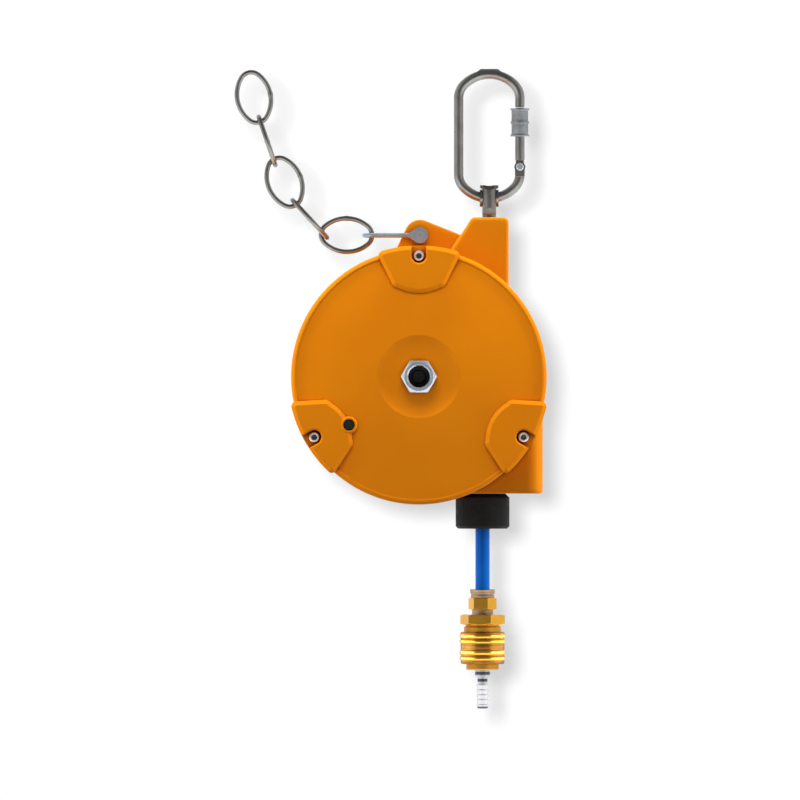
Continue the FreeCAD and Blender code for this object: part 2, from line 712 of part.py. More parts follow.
def swivel():
    """A shank whose flattened head takes the hook's wire in a bushed cross hole, and its bearing in the neck."""
    eye = new_body("swivel_eye")
    centre, top, foot = size("eye_centre"), size("eye_top"), size("eye_foot")
    half, depth = size("eye_width") / 2, size("eye_depth") / 2
    flat = depth - half
    section = chained((half, -flat), (half, flat), ((0, depth), (-half, flat)), (-half, -flat), ((0, -depth), (half, -flat)))
    pad(eye, curved(eye, "XY_Plane", section, "eye_foot"), "eye_top - eye_foot")
    lip = chained((-5.75, top + 0.3), (-5.75, top - 1.2), (-4.2, top - 2.3), (4.2, top - 2.3), (5.75, top - 1.2),
                  (5.75, top + 0.3), (2.2, top + 0.3), (0, top - 0.8), (-2.2, top + 0.3), (-5.75, top + 0.3))
    pad(eye, curved(eye, "XZ_Plane", lip), "6", symmetric=True)
    shank_end = size("drum_z") + 62
    pad(eye, circle(eye, "XY_Plane", (0, 0), "shank_diameter", shank_end), foot + 1 - shank_end)
    for side in (1, -1):
        out, shank = side * (depth + 1), side * size("shank_diameter") / 2
        cheek = chained((out, foot + 5.5), (out, foot - 0.5), (shank, foot - 0.5), (out, foot + 5.5))
        pocket(eye, curved(eye, "YZ_Plane", cheek), "20", symmetric=True)
        crown = chained((out, top - 3.5), (out, top + 1), (side * (depth - 4.5), top + 1), (out, top - 3.5))
        pocket(eye, curved(eye, "YZ_Plane", crown), "20", symmetric=True)
    pocket(eye, circle(eye, "YZ_Plane", (0, centre), "2 * eye_hole", "-10"), "20", reverse=True)
    pocket(eye, circle(eye, "YZ_Plane", (0, size("drum_z") + 70), "2"), "20", symmetric=True)
    bush = new_body("eye_bush")
    turned(bush, corners(bush, "XY_Plane", [
        ("eye_bush_hole + 0.9", -5.9), ("5.4", -5.9), ("5.4", -4.5), ("eye_hole", -4.5), ("eye_hole", 4.5), ("5.4", 4.5),
        ("5.4", 5.9), ("eye_bush_hole + 0.9", 5.9), ("eye_bush_hole", 2.5), ("eye_bush_hole", -2.5),
    ]))
    bush.Placement = Placement(Vector(0, 0, centre), Rotation(UP, 90))
    below = Placement(Vector(0, 0, size("drum_z")), Rotation())
    spindle("thrust_washer", below, [("5.4", "84.7"), ("8", "84.7"), ("8", "86.4"), ("5.4", "86.4")])
    nut = new_body("stud_nut", below)
    pad(nut, polygon(nut, "XY_Plane", 6, "13", "76.6"), "8")
    pocket(nut, circle(nut, "XY_Plane", (0, 0), "shank_diameter", "90"), "20")
    pin = new_body("split_pin", below)
    pad(pin, circle(pin, "YZ_Plane", (0, 70), "2"), "15", symmetric=True)
    return eye


# ---- snap hook ------------------------------------------------------------------------------------------------------


def bow(half_width, corner, rise, turn):
    """Half a bow as two tangent arcs: a tight corner that leaves the limb, and a flatter crown."""
    reach = half_width - corner
    drop = (reach**2 - (rise - corner) ** 2) / (2 * (rise - corner))
    crown = rise + drop
    lean = math.atan2(reach, drop)
    on_corner = lambda a: (turn * (reach + corner * math.cos(a)), corner * math.sin(a))
    on_crown = lambda a: (turn * crown * math.sin(a), -drop + crown * math.cos(a))
    return on_corner(math.pi / 4 - lean / 2), on_corner(math.pi / 2 - lean), on_crown(lean / 2), (0, rise)


def hook_path():
    """The wire's middle line: from the nose over the top, down the left limb and round the bottom to the hinge."""
    half, corner, rise = size("hook_half_width"), size("hook_corner"), size("hook_rise")
    top = size("hook_wire") / 2 - rise
    bottom = size("hook_bottom") + rise
    right, left = bow(half, corner, rise, 1), bow(half, corner, rise, -1)
    up = lambda p: (p[0], top + p[1])
    down = lambda p: (p[0], bottom - p[1])
    return chained(
        (half, size("nose_end")), (half, top), (up(right[0]), up(right[1])), (up(right[2]), up(right[3])),
        (up(left[2]), up(left[1])), (up(left[0]), (-half, top)), (-half, bottom), (down(left[0]), down(left[1])),
        (down(left[2]), down(left[3])), (down(right[2]), down(right[1])), (down(right[0]), (half, bottom)),
        (half, size("gate_pivot") - 3.2),
    )


def snap_hook():
    """A wire hook with a hinged gate that a sliding screw sleeve locks to its nose."""
    frame = new_body("carabiner_frame")
    profile = circle(frame, "XY_Plane", ("hook_half_width", 0), "hook_wire", "nose_end")
    pipe(frame, profile, curved(frame, "XZ_Plane", hook_path()))
    pivot, half = size("gate_pivot"), size("hook_half_width")
    # the fork: two cheeks beside the gate's tongue, joined below it
    pad(frame, circle(frame, "XZ_Plane", (half, pivot), "7", "-3.2"), "6.4")
    root = chained((half - 3.1, pivot), (half + 3.1, pivot), (half + 3, pivot - 6), (half - 3, pivot - 6), (half - 3.1, pivot))
    pad(frame, curved(frame, "XZ_Plane", root), "6.4", symmetric=True)
    slot = chained((half - 6, pivot + 6), (half + 6, pivot + 6), (half + 6, pivot - 4.4), (half - 6, pivot - 4.4),
                   (half - 6, pivot + 6))
    pocket(frame, curved(frame, "XZ_Plane", slot), "2.8", symmetric=True)
    pocket(frame, circle(frame, "XZ_Plane", (half, pivot), "2.6"), "20", symmetric=True)
    saddle = chained((-8.4, 3.9), (8.4, 3.9), (5.4, 6.3), (-5.4, 6.3), (-8.4, 3.9))
    pad(frame, curved(frame, "XZ_Plane", saddle), "4", symmetric=True)

    rivet = new_body("gate_rivet")
    pad(rivet, circle(rivet, "XZ_Plane", (half, pivot), "2.6", "-3.3"), "6.6")
    for side in ("3.3", "-4.3"):
        pad(rivet, circle(rivet, "XZ_Plane", (half, pivot), "4.8", side), "1")
    dress(rivet, "Fillet", "0.7", lambda e: abs(abs(e.BoundBox.Center.y) - 4.3) < 1e-3)

    gate = new_body("gate", Placement(Vector(half, 0, 0), Rotation()))
    turned(gate, corners(gate, "XZ_Plane", [
        ("0", "gate_pivot + 4.2"), ("hook_wire / 2", "gate_pivot + 4.2"), ("hook_wire / 2", "gate_top - 2.2"),
        ("2.5", "gate_top - 2"), ("2.5", "gate_top"), ("0", "gate_top"),
    ]))
    tongue = chained((-2.6, pivot + 6), (2.6, pivot + 6), (2.6, pivot), ((0, pivot - 2.6), (-2.6, pivot)), (-2.6, pivot + 6))
    pad(gate, curved(gate, "XZ_Plane", tongue), "2.4", symmetric=True)
    pocket(gate, circle(gate, "XZ_Plane", (0, pivot), "2.7"), "20", symmetric=True)

    spindle("lock_sleeve", Placement(Vector(half, 0, size("lock_sleeve_top")), Rotation()), [
        ("hook_wire / 2 + 0.08", "-lock_sleeve_length"), ("lock_sleeve_diameter / 2 - 0.4", "-lock_sleeve_length"),
        ("lock_sleeve_diameter / 2", "-lock_sleeve_length + 0.5"), ("lock_sleeve_diameter / 2", "-0.5"),
        ("lock_sleeve_diameter / 2 - 0.4", "0"), ("hook_wire / 2 + 0.08", "0"),
    ])
    return frame


# ---- hose end -------------------------------------------------------------------------------------------------------


def stop_buffer():
    body = new_body("stop_buffer", Placement(Vector(size("drum_x + hose_radius"), 0, size("drum_z")), Rotation()))
    turned(body, corners(body, "XZ_Plane", [
        ("hose_diameter / 2", "block_bottom - 0.2"), ("buffer_diameter / 2 - 2.5", "block_bottom - 0.2"),
        ("buffer_diameter / 2", "block_bottom - 2.7"), ("buffer_diameter / 2", "block_bottom + 1.5 - buffer_height"),
        ("buffer_diameter / 2 - 1.5", "block_bottom - buffer_height"), ("hose_diameter / 2", "block_bottom - buffer_height"),
    ]))
    return body


def hex_section(label, across_corners, top, bottom, bore, placement):
    body = new_body(label, placement)
    flats = size(across_corners) * math.cos(math.pi / 6)
    turn = math.radians(size("hex_turn"))
    pad(body, polygon(body, "XY_Plane", 6, flats, bottom, turn), size(top) - size(bottom))
    pocket(body, circle(body, "XY_Plane", (0, 0), bore, size(top) + 1), size(top) - size(bottom) + 2)
    return body


def spring(label, placement, radius, wire, bottom, top, turns):
    """A coil spring about the vertical axis, from its lowest to its highest point."""
    body = new_body(label, placement)
    low = size(bottom) + wire / 2
    profile = circle(body, "XZ_Plane", (radius, low), wire)
    coil = body.newObject("PartDesign::AdditiveHelix", label + "_helix")
    coil.Profile = profile
    coil.ReferenceAxis = (profile, ["V_Axis"])
    coil.Mode = "height-turns-angle"
    coil.Height = size(top) - wire / 2 - low
    coil.Turns = turns
    doc.recompute()
    return body


SLEEVE_RIBS = ((1.2, 3.9), (4.8, 7.1), (11.4, 14.3), (15.4, 17.8))    # upper and lower edges, below the sleeve's top


def coupling_sleeve(placement):
    """The sliding sleeve, with two pairs of rounded finger ribs."""
    body = new_body("coupling_sleeve", placement)
    outer, top, bottom = size("sleeve_diameter") / 2, size("sleeve_top"), size("sleeve_bottom")
    valley = outer - size("sleeve_rib")
    bore, end_bore, land = size("body_diameter") / 2 + 0.08, 10.3, 6
    stops = [(bore, top), (valley, top)]
    for start, end in SLEEVE_RIBS:
        stops += [(valley, top - start), ((outer, top - (start + end) / 2), (valley, top - end))]
    stops += [(valley, bottom), (end_bore, bottom), (end_bore, bottom + land), (bore, bottom + land), (bore, top)]
    turned(body, curved(body, "XZ_Plane", chained(*stops)))
    return body


def coupling():
    """The quick coupling on the hose, its sliding sleeve, and the plug that it holds by its ball ring."""
    place = Placement(Vector(size("drum_x + hose_radius"), 0, size("drum_z")), Rotation())
    spindle("hose_ferrule", place, [
        ("hose_diameter / 2", "nut_top + 0.6"), ("ferrule_diameter / 2", "nut_top + 0.6"),
        ("ferrule_diameter / 2", "ferrule_top - 0.6"), ("ferrule_diameter / 2 - 0.6", "ferrule_top"),
        ("hose_diameter / 2", "ferrule_top"),
    ])
    hex_section("hose_nut", "nut_across_corners", "nut_top + 0.6", "neck_piece_top", "hose_diameter", place)
    adapter = hex_section("coupling_adapter", "adapter_across_corners", "adapter_top", "body_top", "6", place)
    turned(adapter, corners(adapter, "XZ_Plane", [
        ("3", "adapter_top"), ("6.7", "adapter_top"), ("6.7", "neck_piece_top"), ("3", "neck_piece_top"),
    ]))
    shell = spindle("coupling_body", place, [
        ("6.5", "body_top"), ("body_diameter / 2 - 1", "body_top"), ("body_diameter / 2 - 1", "body_top - 0.8"),
        ("body_diameter / 2", "body_top - 1.6"), ("body_diameter / 2", "sleeve_top - 2"), ("10.2", "sleeve_top - 2"),
        ("10.2", "sleeve_bottom - 0.3"), ("body_end_diameter / 2", "sleeve_bottom - 0.3"),
        ("body_end_diameter / 2", "body_end + 0.5"), ("body_end_diameter / 2 - 0.5", "body_end"), ("5.3", "body_end"),
        ("5.3", "body_end + 17"), ("6.5", "body_end + 17"),
    ])
    for plane in ("XZ_Plane", "YZ_Plane"):
        pocket(shell, circle(shell, plane, (0, "ball_height"), "2 * ball_radius + 0.1"), "40", symmetric=True)
    balls = new_body("locking_balls", place)
    for quarter in range(4):
        ball = balls.newObject("PartDesign::AdditiveSphere", "locking_ball")
        ball.Radius = size("ball_radius")
        ball.setExpression("Radius", bound("ball_radius"))
        ball.AttachmentSupport = (origin_feature(balls, "XY_Plane"), [""])
        ball.MapMode = "FlatFace"
        x, y = polar_point(size("ball_ring"), 90 * quarter)
        ball.AttachmentOffset = Placement(Vector(x, y, size("ball_height")), Rotation())
        doc.recompute()
    coupling_sleeve(place)
    spring("sleeve_spring", place, 10.9, 0.9, "sleeve_bottom + 6.2", "sleeve_top - 2.2", 6)
    spindle("coupling_seal", place, [
        ("4.2", "body_end + 17.1"), ("6.4", "body_end + 17.1"), ("6.4", "body_end + 19"), ("4.2", "body_end + 19"),
    ])
    spindle("coupling_valve", place, [
        ("0", "body_end + 19.3"), ("5.8", "body_end + 19.3"), ("5.8", "body_end + 20.7"), ("2", "body_end + 21.3"),
        ("2", "body_end + 25.5"), ("0", "body_end + 25.5"),
    ])
    spring("valve_spring", place, 4.4, 0.8, "body_end + 21.1", "body_top - 0.1", 4)
    spindle("plug_nipple", place, [
        ("1.8", "plug_end"), ("3", "plug_end"), ("3.95", "plug_end + 2.6"), ("3.2", "plug_end + 2.6"),
        ("3.95", "plug_end + 5.7"), ("3.2", "plug_end + 5.7"), ("3.95", "plug_end + 8.8"), ("3.2", "plug_end + 8.8"),
        ("3.95", "plug_end + 11.9"), ("3.2", "plug_end + 11.9"), ("3.95", "plug_end + 15"), ("3.2", "plug_end + 15.4"),
        ("3.2", "plug_end + 20"), ("4.75", "plug_end + 20.4"), ("4.75", "plug_collar + 1.6"), ("5.2", "plug_collar + 1.6"),
        ("5.2", "body_end + 5"), ("4.2", "body_end + 6"), ("4.2", "body_end + 8"), ("5.2", "body_end + 9"),
        ("5.2", "body_end + 12"), ("4.1", "body_end + 14"), ("4.1", "body_end + 18"), ("1.8", "body_end + 18"),
    ])
    return adapter


# ---- chain ----------------------------------------------------------------------------------------------------------


def oval(half_length, half_width, end_radius):
    """A closed oval along the sketch's vertical: two end arcs and two side arcs, all tangent."""
    reach = half_length - end_radius
    shift = (reach**2 - (half_width - end_radius) ** 2) / (2 * (half_width - end_radius))
    side = half_width + shift
    lean = math.atan2(reach, shift)
    end = lambda a: (end_radius * math.cos(a), reach + end_radius * math.sin(a))
    low = lambda a: (end_radius * math.cos(a), -reach - end_radius * math.sin(a))
    return [
        (end(lean), (0, half_length), end(math.pi - lean)),
        (end(math.pi - lean), (-half_width, 0), low(math.pi - lean)),
        (low(math.pi - lean), (0, -half_length), low(lean)),
        (low(lean), (half_width, 0), end(lean)),
    ]


# each link: its middle, seen from the drum's axis, its lean from upright (clockwise from the front), and whether it
# lies face on
LINKS = (
    (-103.45, 175.2, -11, True),
    (-95.2, 147.95, -18.9, False),
    (-84.2, 122.05, -22, True),
    (-68.3, 99.0, -42.7, False),
    (-45.3, 88.9, -89, True),
)


def chain():
    for number, (x, z, lean, face_on) in enumerate(LINKS, start=1):
        body = new_body(f"chain_link_{number}")
        path = curved(body, "XZ_Plane", oval(size("link_half_length"), size("link_half_width"), size("link_end_radius")))
        profile = circle(body, "XY_Plane", ("link_half_width", 0), "chain_wire")
        pipe(body, profile, path)
        turn = Rotation(Vector(0, 1, 0), lean)
        body.Placement = Placement(
            Vector(size("drum_x") + x, 0, size("drum_z") + z), turn * Rotation(UP, 0 if face_on else 90)
        )


def shackle():
    """A long D shackle that straddles the ear: flat eyes on the pin, two arms and a bow."""
    body = new_body("shackle", Placement(Vector(size("drum_x + ear_x"), 0, size("drum_z + ear_z")), Rotation()))
    gap, wire, length = size("shackle_half_gap"), size("chain_wire"), size("shackle_length")
    path = chained((-3, -gap), (-length + gap, -gap), ((-length, 0), (-length + gap, gap)), (-3, gap))
    profile = circle(body, "YZ_Plane", (-gap, 0), "chain_wire - 0.1", "-3")
    pipe(body, profile, curved(body, "XY_Plane", path))
    for side in (-1, 1):
        middle = -side * gap
        pad(body, circle(body, "XZ_Plane", (0, 0), "10", middle - 1.6), "3.2")
    for side in (-1, 1):
        neck = chained((-7.2, 1.4), (-3.6, 3.4), (-3.6, -3.4), (-7.2, -1.4), (-7.2, 1.4))
        pad(body, curved(body, "XZ_Plane", neck, -side * gap - 1.4), "2.8")
    pocket(body, circle(body, "XZ_Plane", (0, 0), "chain_pin_diameter"), "40", symmetric=True)
    pin = new_body("chain_pin", body.Placement)
    pad(pin, circle(pin, "XZ_Plane", (0, 0), "chain_pin_diameter"), 2 * (gap + 1.6), symmetric=True)
    return body


# ---- build ----------------------------------------------------------------------------------------------------------

front_cover()
cover_screws()
rear_housing()
inlet_axle()
casing_fittings()
hose_drum()
drum_pieces()
hose_coil()
power_spring()
lock_pin()
swivel()
snap_hook()
hose_tube("hose_feed", "-30", "block_bottom")
hose_tube("free_hose", "block_bottom - 0.2", "nut_top - 4")
stop_buffer()
coupling()
chain()
shackle()

doc.recompute()
for item in doc.Objects:
    assert not {"Invalid", "Error"} & set(item.State), f"{item.Label}: {item.State}"
os.makedirs("parts", exist_ok=True)
for part in PARTS:
    assert not part.Shape.isNull() and part.Shape.isValid(), f"{part.Label}: bad shape"
    part.Shape.exportStep(f"parts/{part.Label}.step")
    print(part.Label, len(part.Shape.Solids), round(part.Shape.Volume, 1))
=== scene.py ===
"""Looks of the hose balancer: its pieces, materials, light and camera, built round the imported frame."""
import json
import math

import bmesh
import bpy
from mathutils import Matrix, Vector


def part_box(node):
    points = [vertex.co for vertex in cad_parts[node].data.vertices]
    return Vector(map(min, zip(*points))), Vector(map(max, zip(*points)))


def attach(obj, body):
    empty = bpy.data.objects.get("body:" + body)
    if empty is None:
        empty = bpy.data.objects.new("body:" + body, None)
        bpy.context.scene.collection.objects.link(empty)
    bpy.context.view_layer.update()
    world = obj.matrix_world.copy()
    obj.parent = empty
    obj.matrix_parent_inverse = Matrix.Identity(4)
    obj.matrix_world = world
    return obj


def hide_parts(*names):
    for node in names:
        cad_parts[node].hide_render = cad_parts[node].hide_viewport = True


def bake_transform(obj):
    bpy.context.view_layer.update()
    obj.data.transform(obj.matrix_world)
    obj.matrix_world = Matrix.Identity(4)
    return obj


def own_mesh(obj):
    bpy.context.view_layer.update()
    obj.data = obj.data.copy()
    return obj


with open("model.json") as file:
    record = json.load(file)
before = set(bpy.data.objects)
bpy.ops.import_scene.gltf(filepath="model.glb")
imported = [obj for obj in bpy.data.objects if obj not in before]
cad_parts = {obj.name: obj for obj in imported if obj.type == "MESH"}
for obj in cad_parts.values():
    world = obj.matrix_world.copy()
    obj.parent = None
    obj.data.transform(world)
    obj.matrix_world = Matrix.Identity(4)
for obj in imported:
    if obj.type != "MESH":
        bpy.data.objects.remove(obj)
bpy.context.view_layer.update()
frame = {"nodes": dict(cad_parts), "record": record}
NODES = frame["nodes"]
BODY_OF = {n: b for b, ns in frame["record"]["behaviour"]["bodies"].items() for n in ns}
SLOT_OF = {p["node"]: p["material_slot"] for p in frame["record"]["subparts"]}
MM = 0.001
scene = bpy.context.scene


# ---- camera --------------------------------------------------------------------------------------

VIEW_WIDTH = 0.502          # what the picture spans in the plane of the hose
VIEW_CENTRE = (-0.0560, -0.2014)
CAMERA_DISTANCE = 12.0
SENSOR = 36.0

camera = bpy.data.objects.new("camera", bpy.data.cameras.new("camera"))
scene.collection.objects.link(camera)
scene.camera = camera
camera.location = (VIEW_CENTRE[0], -CAMERA_DISTANCE, VIEW_CENTRE[1])
camera.rotation_euler = (math.pi / 2, 0, 0)
camera.data.sensor_width = SENSOR
camera.data.lens = SENSOR * CAMERA_DISTANCE / VIEW_WIDTH
camera.data.clip_start, camera.data.clip_end = 1, 60


# ---- materials -----------------------------------------------------------------------------------


RANGE = ("From Min", "From Max", "To Min", "To Max")     # the sockets of a Map Range node
FACTOR, FIRST, SECOND, MIXED = 0, 6, 7, 2               # a Mix node's factor, two colours and mixed colour


class Nodes:
    """A short way to write the nodes of a material or of the world."""

    def __init__(self, tree):
        self.nodes = tree.nodes
        self.links = tree.links

    def add(self, kind, settings=None, **inputs):
        """A new node; inputs are named by their sockets, with _ for a space."""
        node = self.nodes.new(kind)
        for name, value in (settings or {}).items():
            setattr(node, name, value)
        for name, value in inputs.items():
            self.put(node.inputs[name.replace("_", " ")], value)
        return node

    def put(self, socket, value):
        """Links a socket to another node's output, or sets it to a plain value."""
        if isinstance(value, bpy.types.NodeSocket):
            self.links.new(value, socket)
        else:
            socket.default_value = value

    def maths(self, operation, *values):
        node = self.add("ShaderNodeMath", {"operation": operation})
        for socket, value in zip(node.inputs, values):
            self.put(socket, value)
        return node.outputs[0]

    def spread(self, value, low, high, to_low=0.0, to_high=1.0, curve="LINEAR"):
        """The value mapped from low and high to to_low and to_high, and held beyond them."""
        node = self.add("ShaderNodeMapRange", {"interpolation_type": curve}, Value=value)
        for name, number in zip(RANGE, (low, high, to_low, to_high)):
            node.inputs[name].default_value = number
        return node.outputs[0]

    def part(self, vector, axis):
        """One component of a vector."""
        return self.add("ShaderNodeSeparateXYZ", Vector=vector).outputs[axis]


class Finish(Nodes):
    """A material with one Principled shader, and the patterns that the finishes share."""

    def __init__(self, name):
        self.material = bpy.data.materials.new(name)
        self.material.use_nodes = True
        super().__init__(self.material.node_tree)
        self.shader = next(n for n in self.nodes if n.type == "BSDF_PRINCIPLED")
        self.place = self.add("ShaderNodeTexCoord").outputs["Object"]

    def look(self, **inputs):
        """Sets the shader's sockets, and returns the material."""
        for name, value in inputs.items():
            self.put(self.shader.inputs[name.replace("_", " ")], value)
        return self.material

    def noise(self, scale, detail=3.0, roughness=0.5, stretch=None):
        place = self.place
        if stretch:
            place = self.add("ShaderNodeMapping", Vector=place, Scale=stretch).outputs[0]
        node = self.add("ShaderNodeTexNoise", Vector=place, Scale=scale, Detail=detail, Roughness=roughness)
        return node.outputs[0]

    def mix(self, factor, first, second):
        node = self.add("ShaderNodeMix", {"data_type": "RGBA"})
        for index, value in ((FACTOR, factor), (FIRST, first), (SECOND, second)):
            self.put(node.inputs[index], value)
        return node.outputs[MIXED]

    def bump(self, height, distance, strength, normal):
        return self.add("ShaderNodeBump", Height=height, Distance=distance, Strength=strength,
                        Normal=normal).outputs[0]

    def edge(self, radius):
        """1 along sharp edges, 0 elsewhere, and the rounded normal."""
        bevel = self.add("ShaderNodeBevel", {"samples": 6}, Radius=radius).outputs[0]
        dot = self.add("ShaderNodeVectorMath", {"operation": "DOT_PRODUCT"})
        self.put(dot.inputs[0], bevel)
        self.put(dot.inputs[1], self.add("ShaderNodeNewGeometry").outputs["Normal"])
        return self.spread(dot.outputs["Value"], 0.985, 0.80), bevel


def colour(r, g, b):
    """An sRGB colour of 0-255 as a linear one."""
    return tuple(((c / 255 + 0.055) / 1.055) ** 2.4 if c > 10 else c / 255 / 12.92
                 for c in (r, g, b)) + (1.0,)


HIGHLIGHT_EDGE = 0.0009          # painted highlight: the paint is lightened this far in from a sharp edge
PATCHES = (90, 90, 90)      # stretches of a pattern: the same each way
FINE_PATCHES = (60, 60, 60)


def painted(name, base, dark, light, crevice_shade, edge=HIGHLIGHT_EDGE, front=None):
    """Paint on a casting, with a painted highlight on its edges and painted shade in its corners; front is a
    darker colour painted as shade on faces turned to -Y.
    """
    t = Finish(name)
    patch = t.spread(t.noise(22, 4), 0.35, 0.68)
    edge_highlight, round_normal = t.edge(HIGHLIGHT_EDGE)[0], t.edge(edge)[1]
    open_air = t.add("ShaderNodeAmbientOcclusion", {"samples": 4}, Distance=0.006).outputs["AO"]
    fill = t.mix(patch, base, dark)
    # painted shade: faces turned to -Y take the darker front colour
    if front:
        toward = t.part(t.add("ShaderNodeNewGeometry").outputs["Normal"], "Y")
        fill = t.mix(t.spread(toward, -0.75, -0.97), fill, front)
    # painted shade: where ambient occlusion finds a corner, the crevice colour takes over
    fill = t.mix(t.spread(open_air, 0.25, 0.72), crevice_shade, fill)
    # painted highlight: sharp edges are lightened towards the light colour
    return t.look(Base_Color=t.mix(t.maths("MULTIPLY", edge_highlight, 0.6), fill, light),
                  Roughness=t.spread(t.noise(160, 3), 0.3, 0.7, 0.42, 0.55),
                  Normal=t.bump(t.noise(900, 2), 0.00004, 0.5, round_normal),
                  Specular_IOR_Level=0.12)


def metal(name, base, dark, rough=(0.2, 0.34), streak=(40, 40, 900), bright=None, metallic=1.0,
          upright=False):
    """A brushed metal, with a painted highlight of the bright colour on its edges; upright lets its sloping
    faces shine as the upright ones beside them do.
    """
    t = Finish(name)
    brushed = t.noise(1.0, 4, 0.6, streak)
    patch = t.noise(120, 4)
    edge_highlight, round_normal = t.edge(0.0004)
    fill = t.mix(t.spread(patch, 0.35, 0.7), base, dark)
    if upright:
        flat = t.add("ShaderNodeVectorMath", {"operation": "MULTIPLY"})
        t.put(flat.inputs[0], round_normal)
        t.put(flat.inputs[1], (1, 1, 0.15))
        level = t.add("ShaderNodeVectorMath", {"operation": "NORMALIZE"})
        t.put(level.inputs[0], flat.outputs[0])
        round_normal = level.outputs[0]
    # painted highlight: sharp edges are lightened towards the bright colour
    return t.look(Base_Color=t.mix(t.maths("MULTIPLY", edge_highlight, 0.6), fill, bright or base),
                  Metallic=metallic,
                  Roughness=t.spread(brushed, 0.3, 0.7, *rough),
                  Normal=t.bump(brushed, 0.00003, 0.5, round_normal))


def moulded(name, base, dark, rough=(0.45, 0.6), grain=700, depth=0.00005, shine=0.4):
    """A plastic or rubber, with a painted highlight that makes its edges a little lighter."""
    t = Finish(name)
    edge_highlight, round_normal = t.edge(0.0004)
    fill = t.mix(t.spread(t.noise(60, 4), 0.35, 0.7), base, dark)
    # painted highlight: the edges take a lighter copy of the base colour
    lighter = tuple(min(1, c * 1.6 + 0.01) for c in base[:3]) + (1.0,)
    return t.look(Base_Color=t.mix(t.maths("MULTIPLY", edge_highlight, 0.5), fill, lighter),
                  Roughness=t.spread(t.noise(300, 3), 0.3, 0.7, *rough),
                  Normal=t.bump(t.noise(grain, 2), depth, 0.6, round_normal),
                  Specular_IOR_Level=shine)


# base, a darker random tone, the painted edge highlight and the painted crevice shade
ORANGE = (colour(232, 134, 2), colour(227, 129, 2), colour(255, 150, 4), colour(120, 48, 2))
# the colours of the painted highlights on the edges of brass and bright zinc
BRASS_EDGE_HIGHLIGHT = colour(255, 214, 110)
ZINC_EDGE_HIGHLIGHT = colour(226, 238, 250)
MATERIALS = {
    "orange_casting": painted("orange_casting", *ORANGE),
    # the rear housing's faces turned to -Y take a darker colour as painted shade
    "orange_housing": painted("orange_housing", *ORANGE, edge=0.005, front=colour(206, 121, 2)),
    "zinc_steel": metal("zinc_steel", colour(206, 213, 222), colour(182, 189, 199), (0.2, 0.3), PATCHES,
                        metallic=0.72),
    "stainless": metal("stainless", colour(148, 147, 144), colour(128, 127, 124), (0.26, 0.36), PATCHES),
    "forged": metal("forged", colour(136, 133, 128), colour(116, 113, 108), (0.28, 0.4), PATCHES,
                    upright=True),
    "bright_zinc": metal("bright_zinc", colour(160, 180, 200), colour(142, 162, 182), (0.25, 0.4), PATCHES,
                         bright=ZINC_EDGE_HIGHLIGHT, metallic=0.6),
    "dull_zinc": metal("dull_zinc", colour(168, 171, 176), colour(144, 147, 152), (0.42, 0.55),
                       (120, 120, 120)),
    "nickel": metal("nickel", colour(238, 238, 238), colour(222, 222, 222), (0.24, 0.34), PATCHES,
                    metallic=0.55),
    # near black: the lock pin's own finish, and painted shade inside the inlet bore
    "burnished_and_shade": moulded("burnished_and_shade", colour(9, 9, 10), colour(5, 5, 6), (0.4, 0.55)),
    "spring_steel": metal("spring_steel", colour(120, 122, 128), colour(80, 82, 88)),
    "brass": metal("brass", colour(243, 182, 66), colour(228, 166, 54), (0.16, 0.26), FINE_PATCHES,
                   bright=BRASS_EDGE_HIGHLIGHT),
    # a darker brass, painted as the shade between the coupling sleeve's ribs
    "groove_shade_brass": metal("groove_shade_brass", colour(150, 104, 44), colour(118, 78, 26), (0.34, 0.46),
                          FINE_PATCHES),
    # a rougher brass for the coupling body, darker as painted shade of its recess between hexagon and sleeve
    "satin_shade_brass": metal("satin_shade_brass", colour(206, 150, 58), colour(186, 130, 46), (0.3, 0.4),
                         FINE_PATCHES),
    "dull_brass": metal("dull_brass", colour(186, 160, 132), colour(160, 134, 108), (0.32, 0.44),
                        FINE_PATCHES),
    "black_rubber": moulded("black_rubber", colour(26, 26, 26), colour(21, 21, 21), (0.55, 0.75), shine=0.15),
    "blue_hose": moulded("blue_hose", colour(2, 98, 196), colour(0, 90, 184), (0.3, 0.4), 250, 0.00001,
                         shine=0.15),
    "black_plastic": moulded("black_plastic", colour(26, 26, 27), colour(20, 20, 21)),
    "grey_plastic": moulded("grey_plastic", colour(190, 190, 188), colour(170, 170, 168)),
    "cast_aluminium": metal("cast_aluminium", colour(200, 200, 200), colour(165, 165, 165), (0.35, 0.55)),
    "sintered": moulded("sintered", colour(74, 75, 80), colour(60, 61, 65), (0.5, 0.7), 1500, 0.0001),
}
# each dark band of the plug, a painted reflection: its middle above the plug's end and half its width, in
# millimetres
PLUG_BANDS = ((22.4, 1.0), (18.0, 0.9), (0.9, 0.6))


def plug_finish():
    """Polished nickel with dark bands, where the real one mirrors the sleeve and the dark below it."""
    end = min(v.co.z for v in NODES["plug_nipple"].data.vertices)
    t = Finish("plug_finish")
    height = t.part(t.place, "Z")
    dark = 0.0
    for centre, half in PLUG_BANDS:
        dark = t.maths("ADD", dark, t.maths("COMPARE", height, end + centre * MM, half * MM))
    return t.look(Base_Color=t.mix(dark, colour(208, 208, 210), colour(84, 90, 108)),
                  Metallic=t.spread(dark, 0, 1, 0.7, 0.9),
                  Roughness=t.spread(t.noise(90, 3), 0.3, 0.7, 0.22, 0.34),
                  Normal=t.edge(0.0004)[1])


MATERIALS["plug_finish"] = plug_finish()

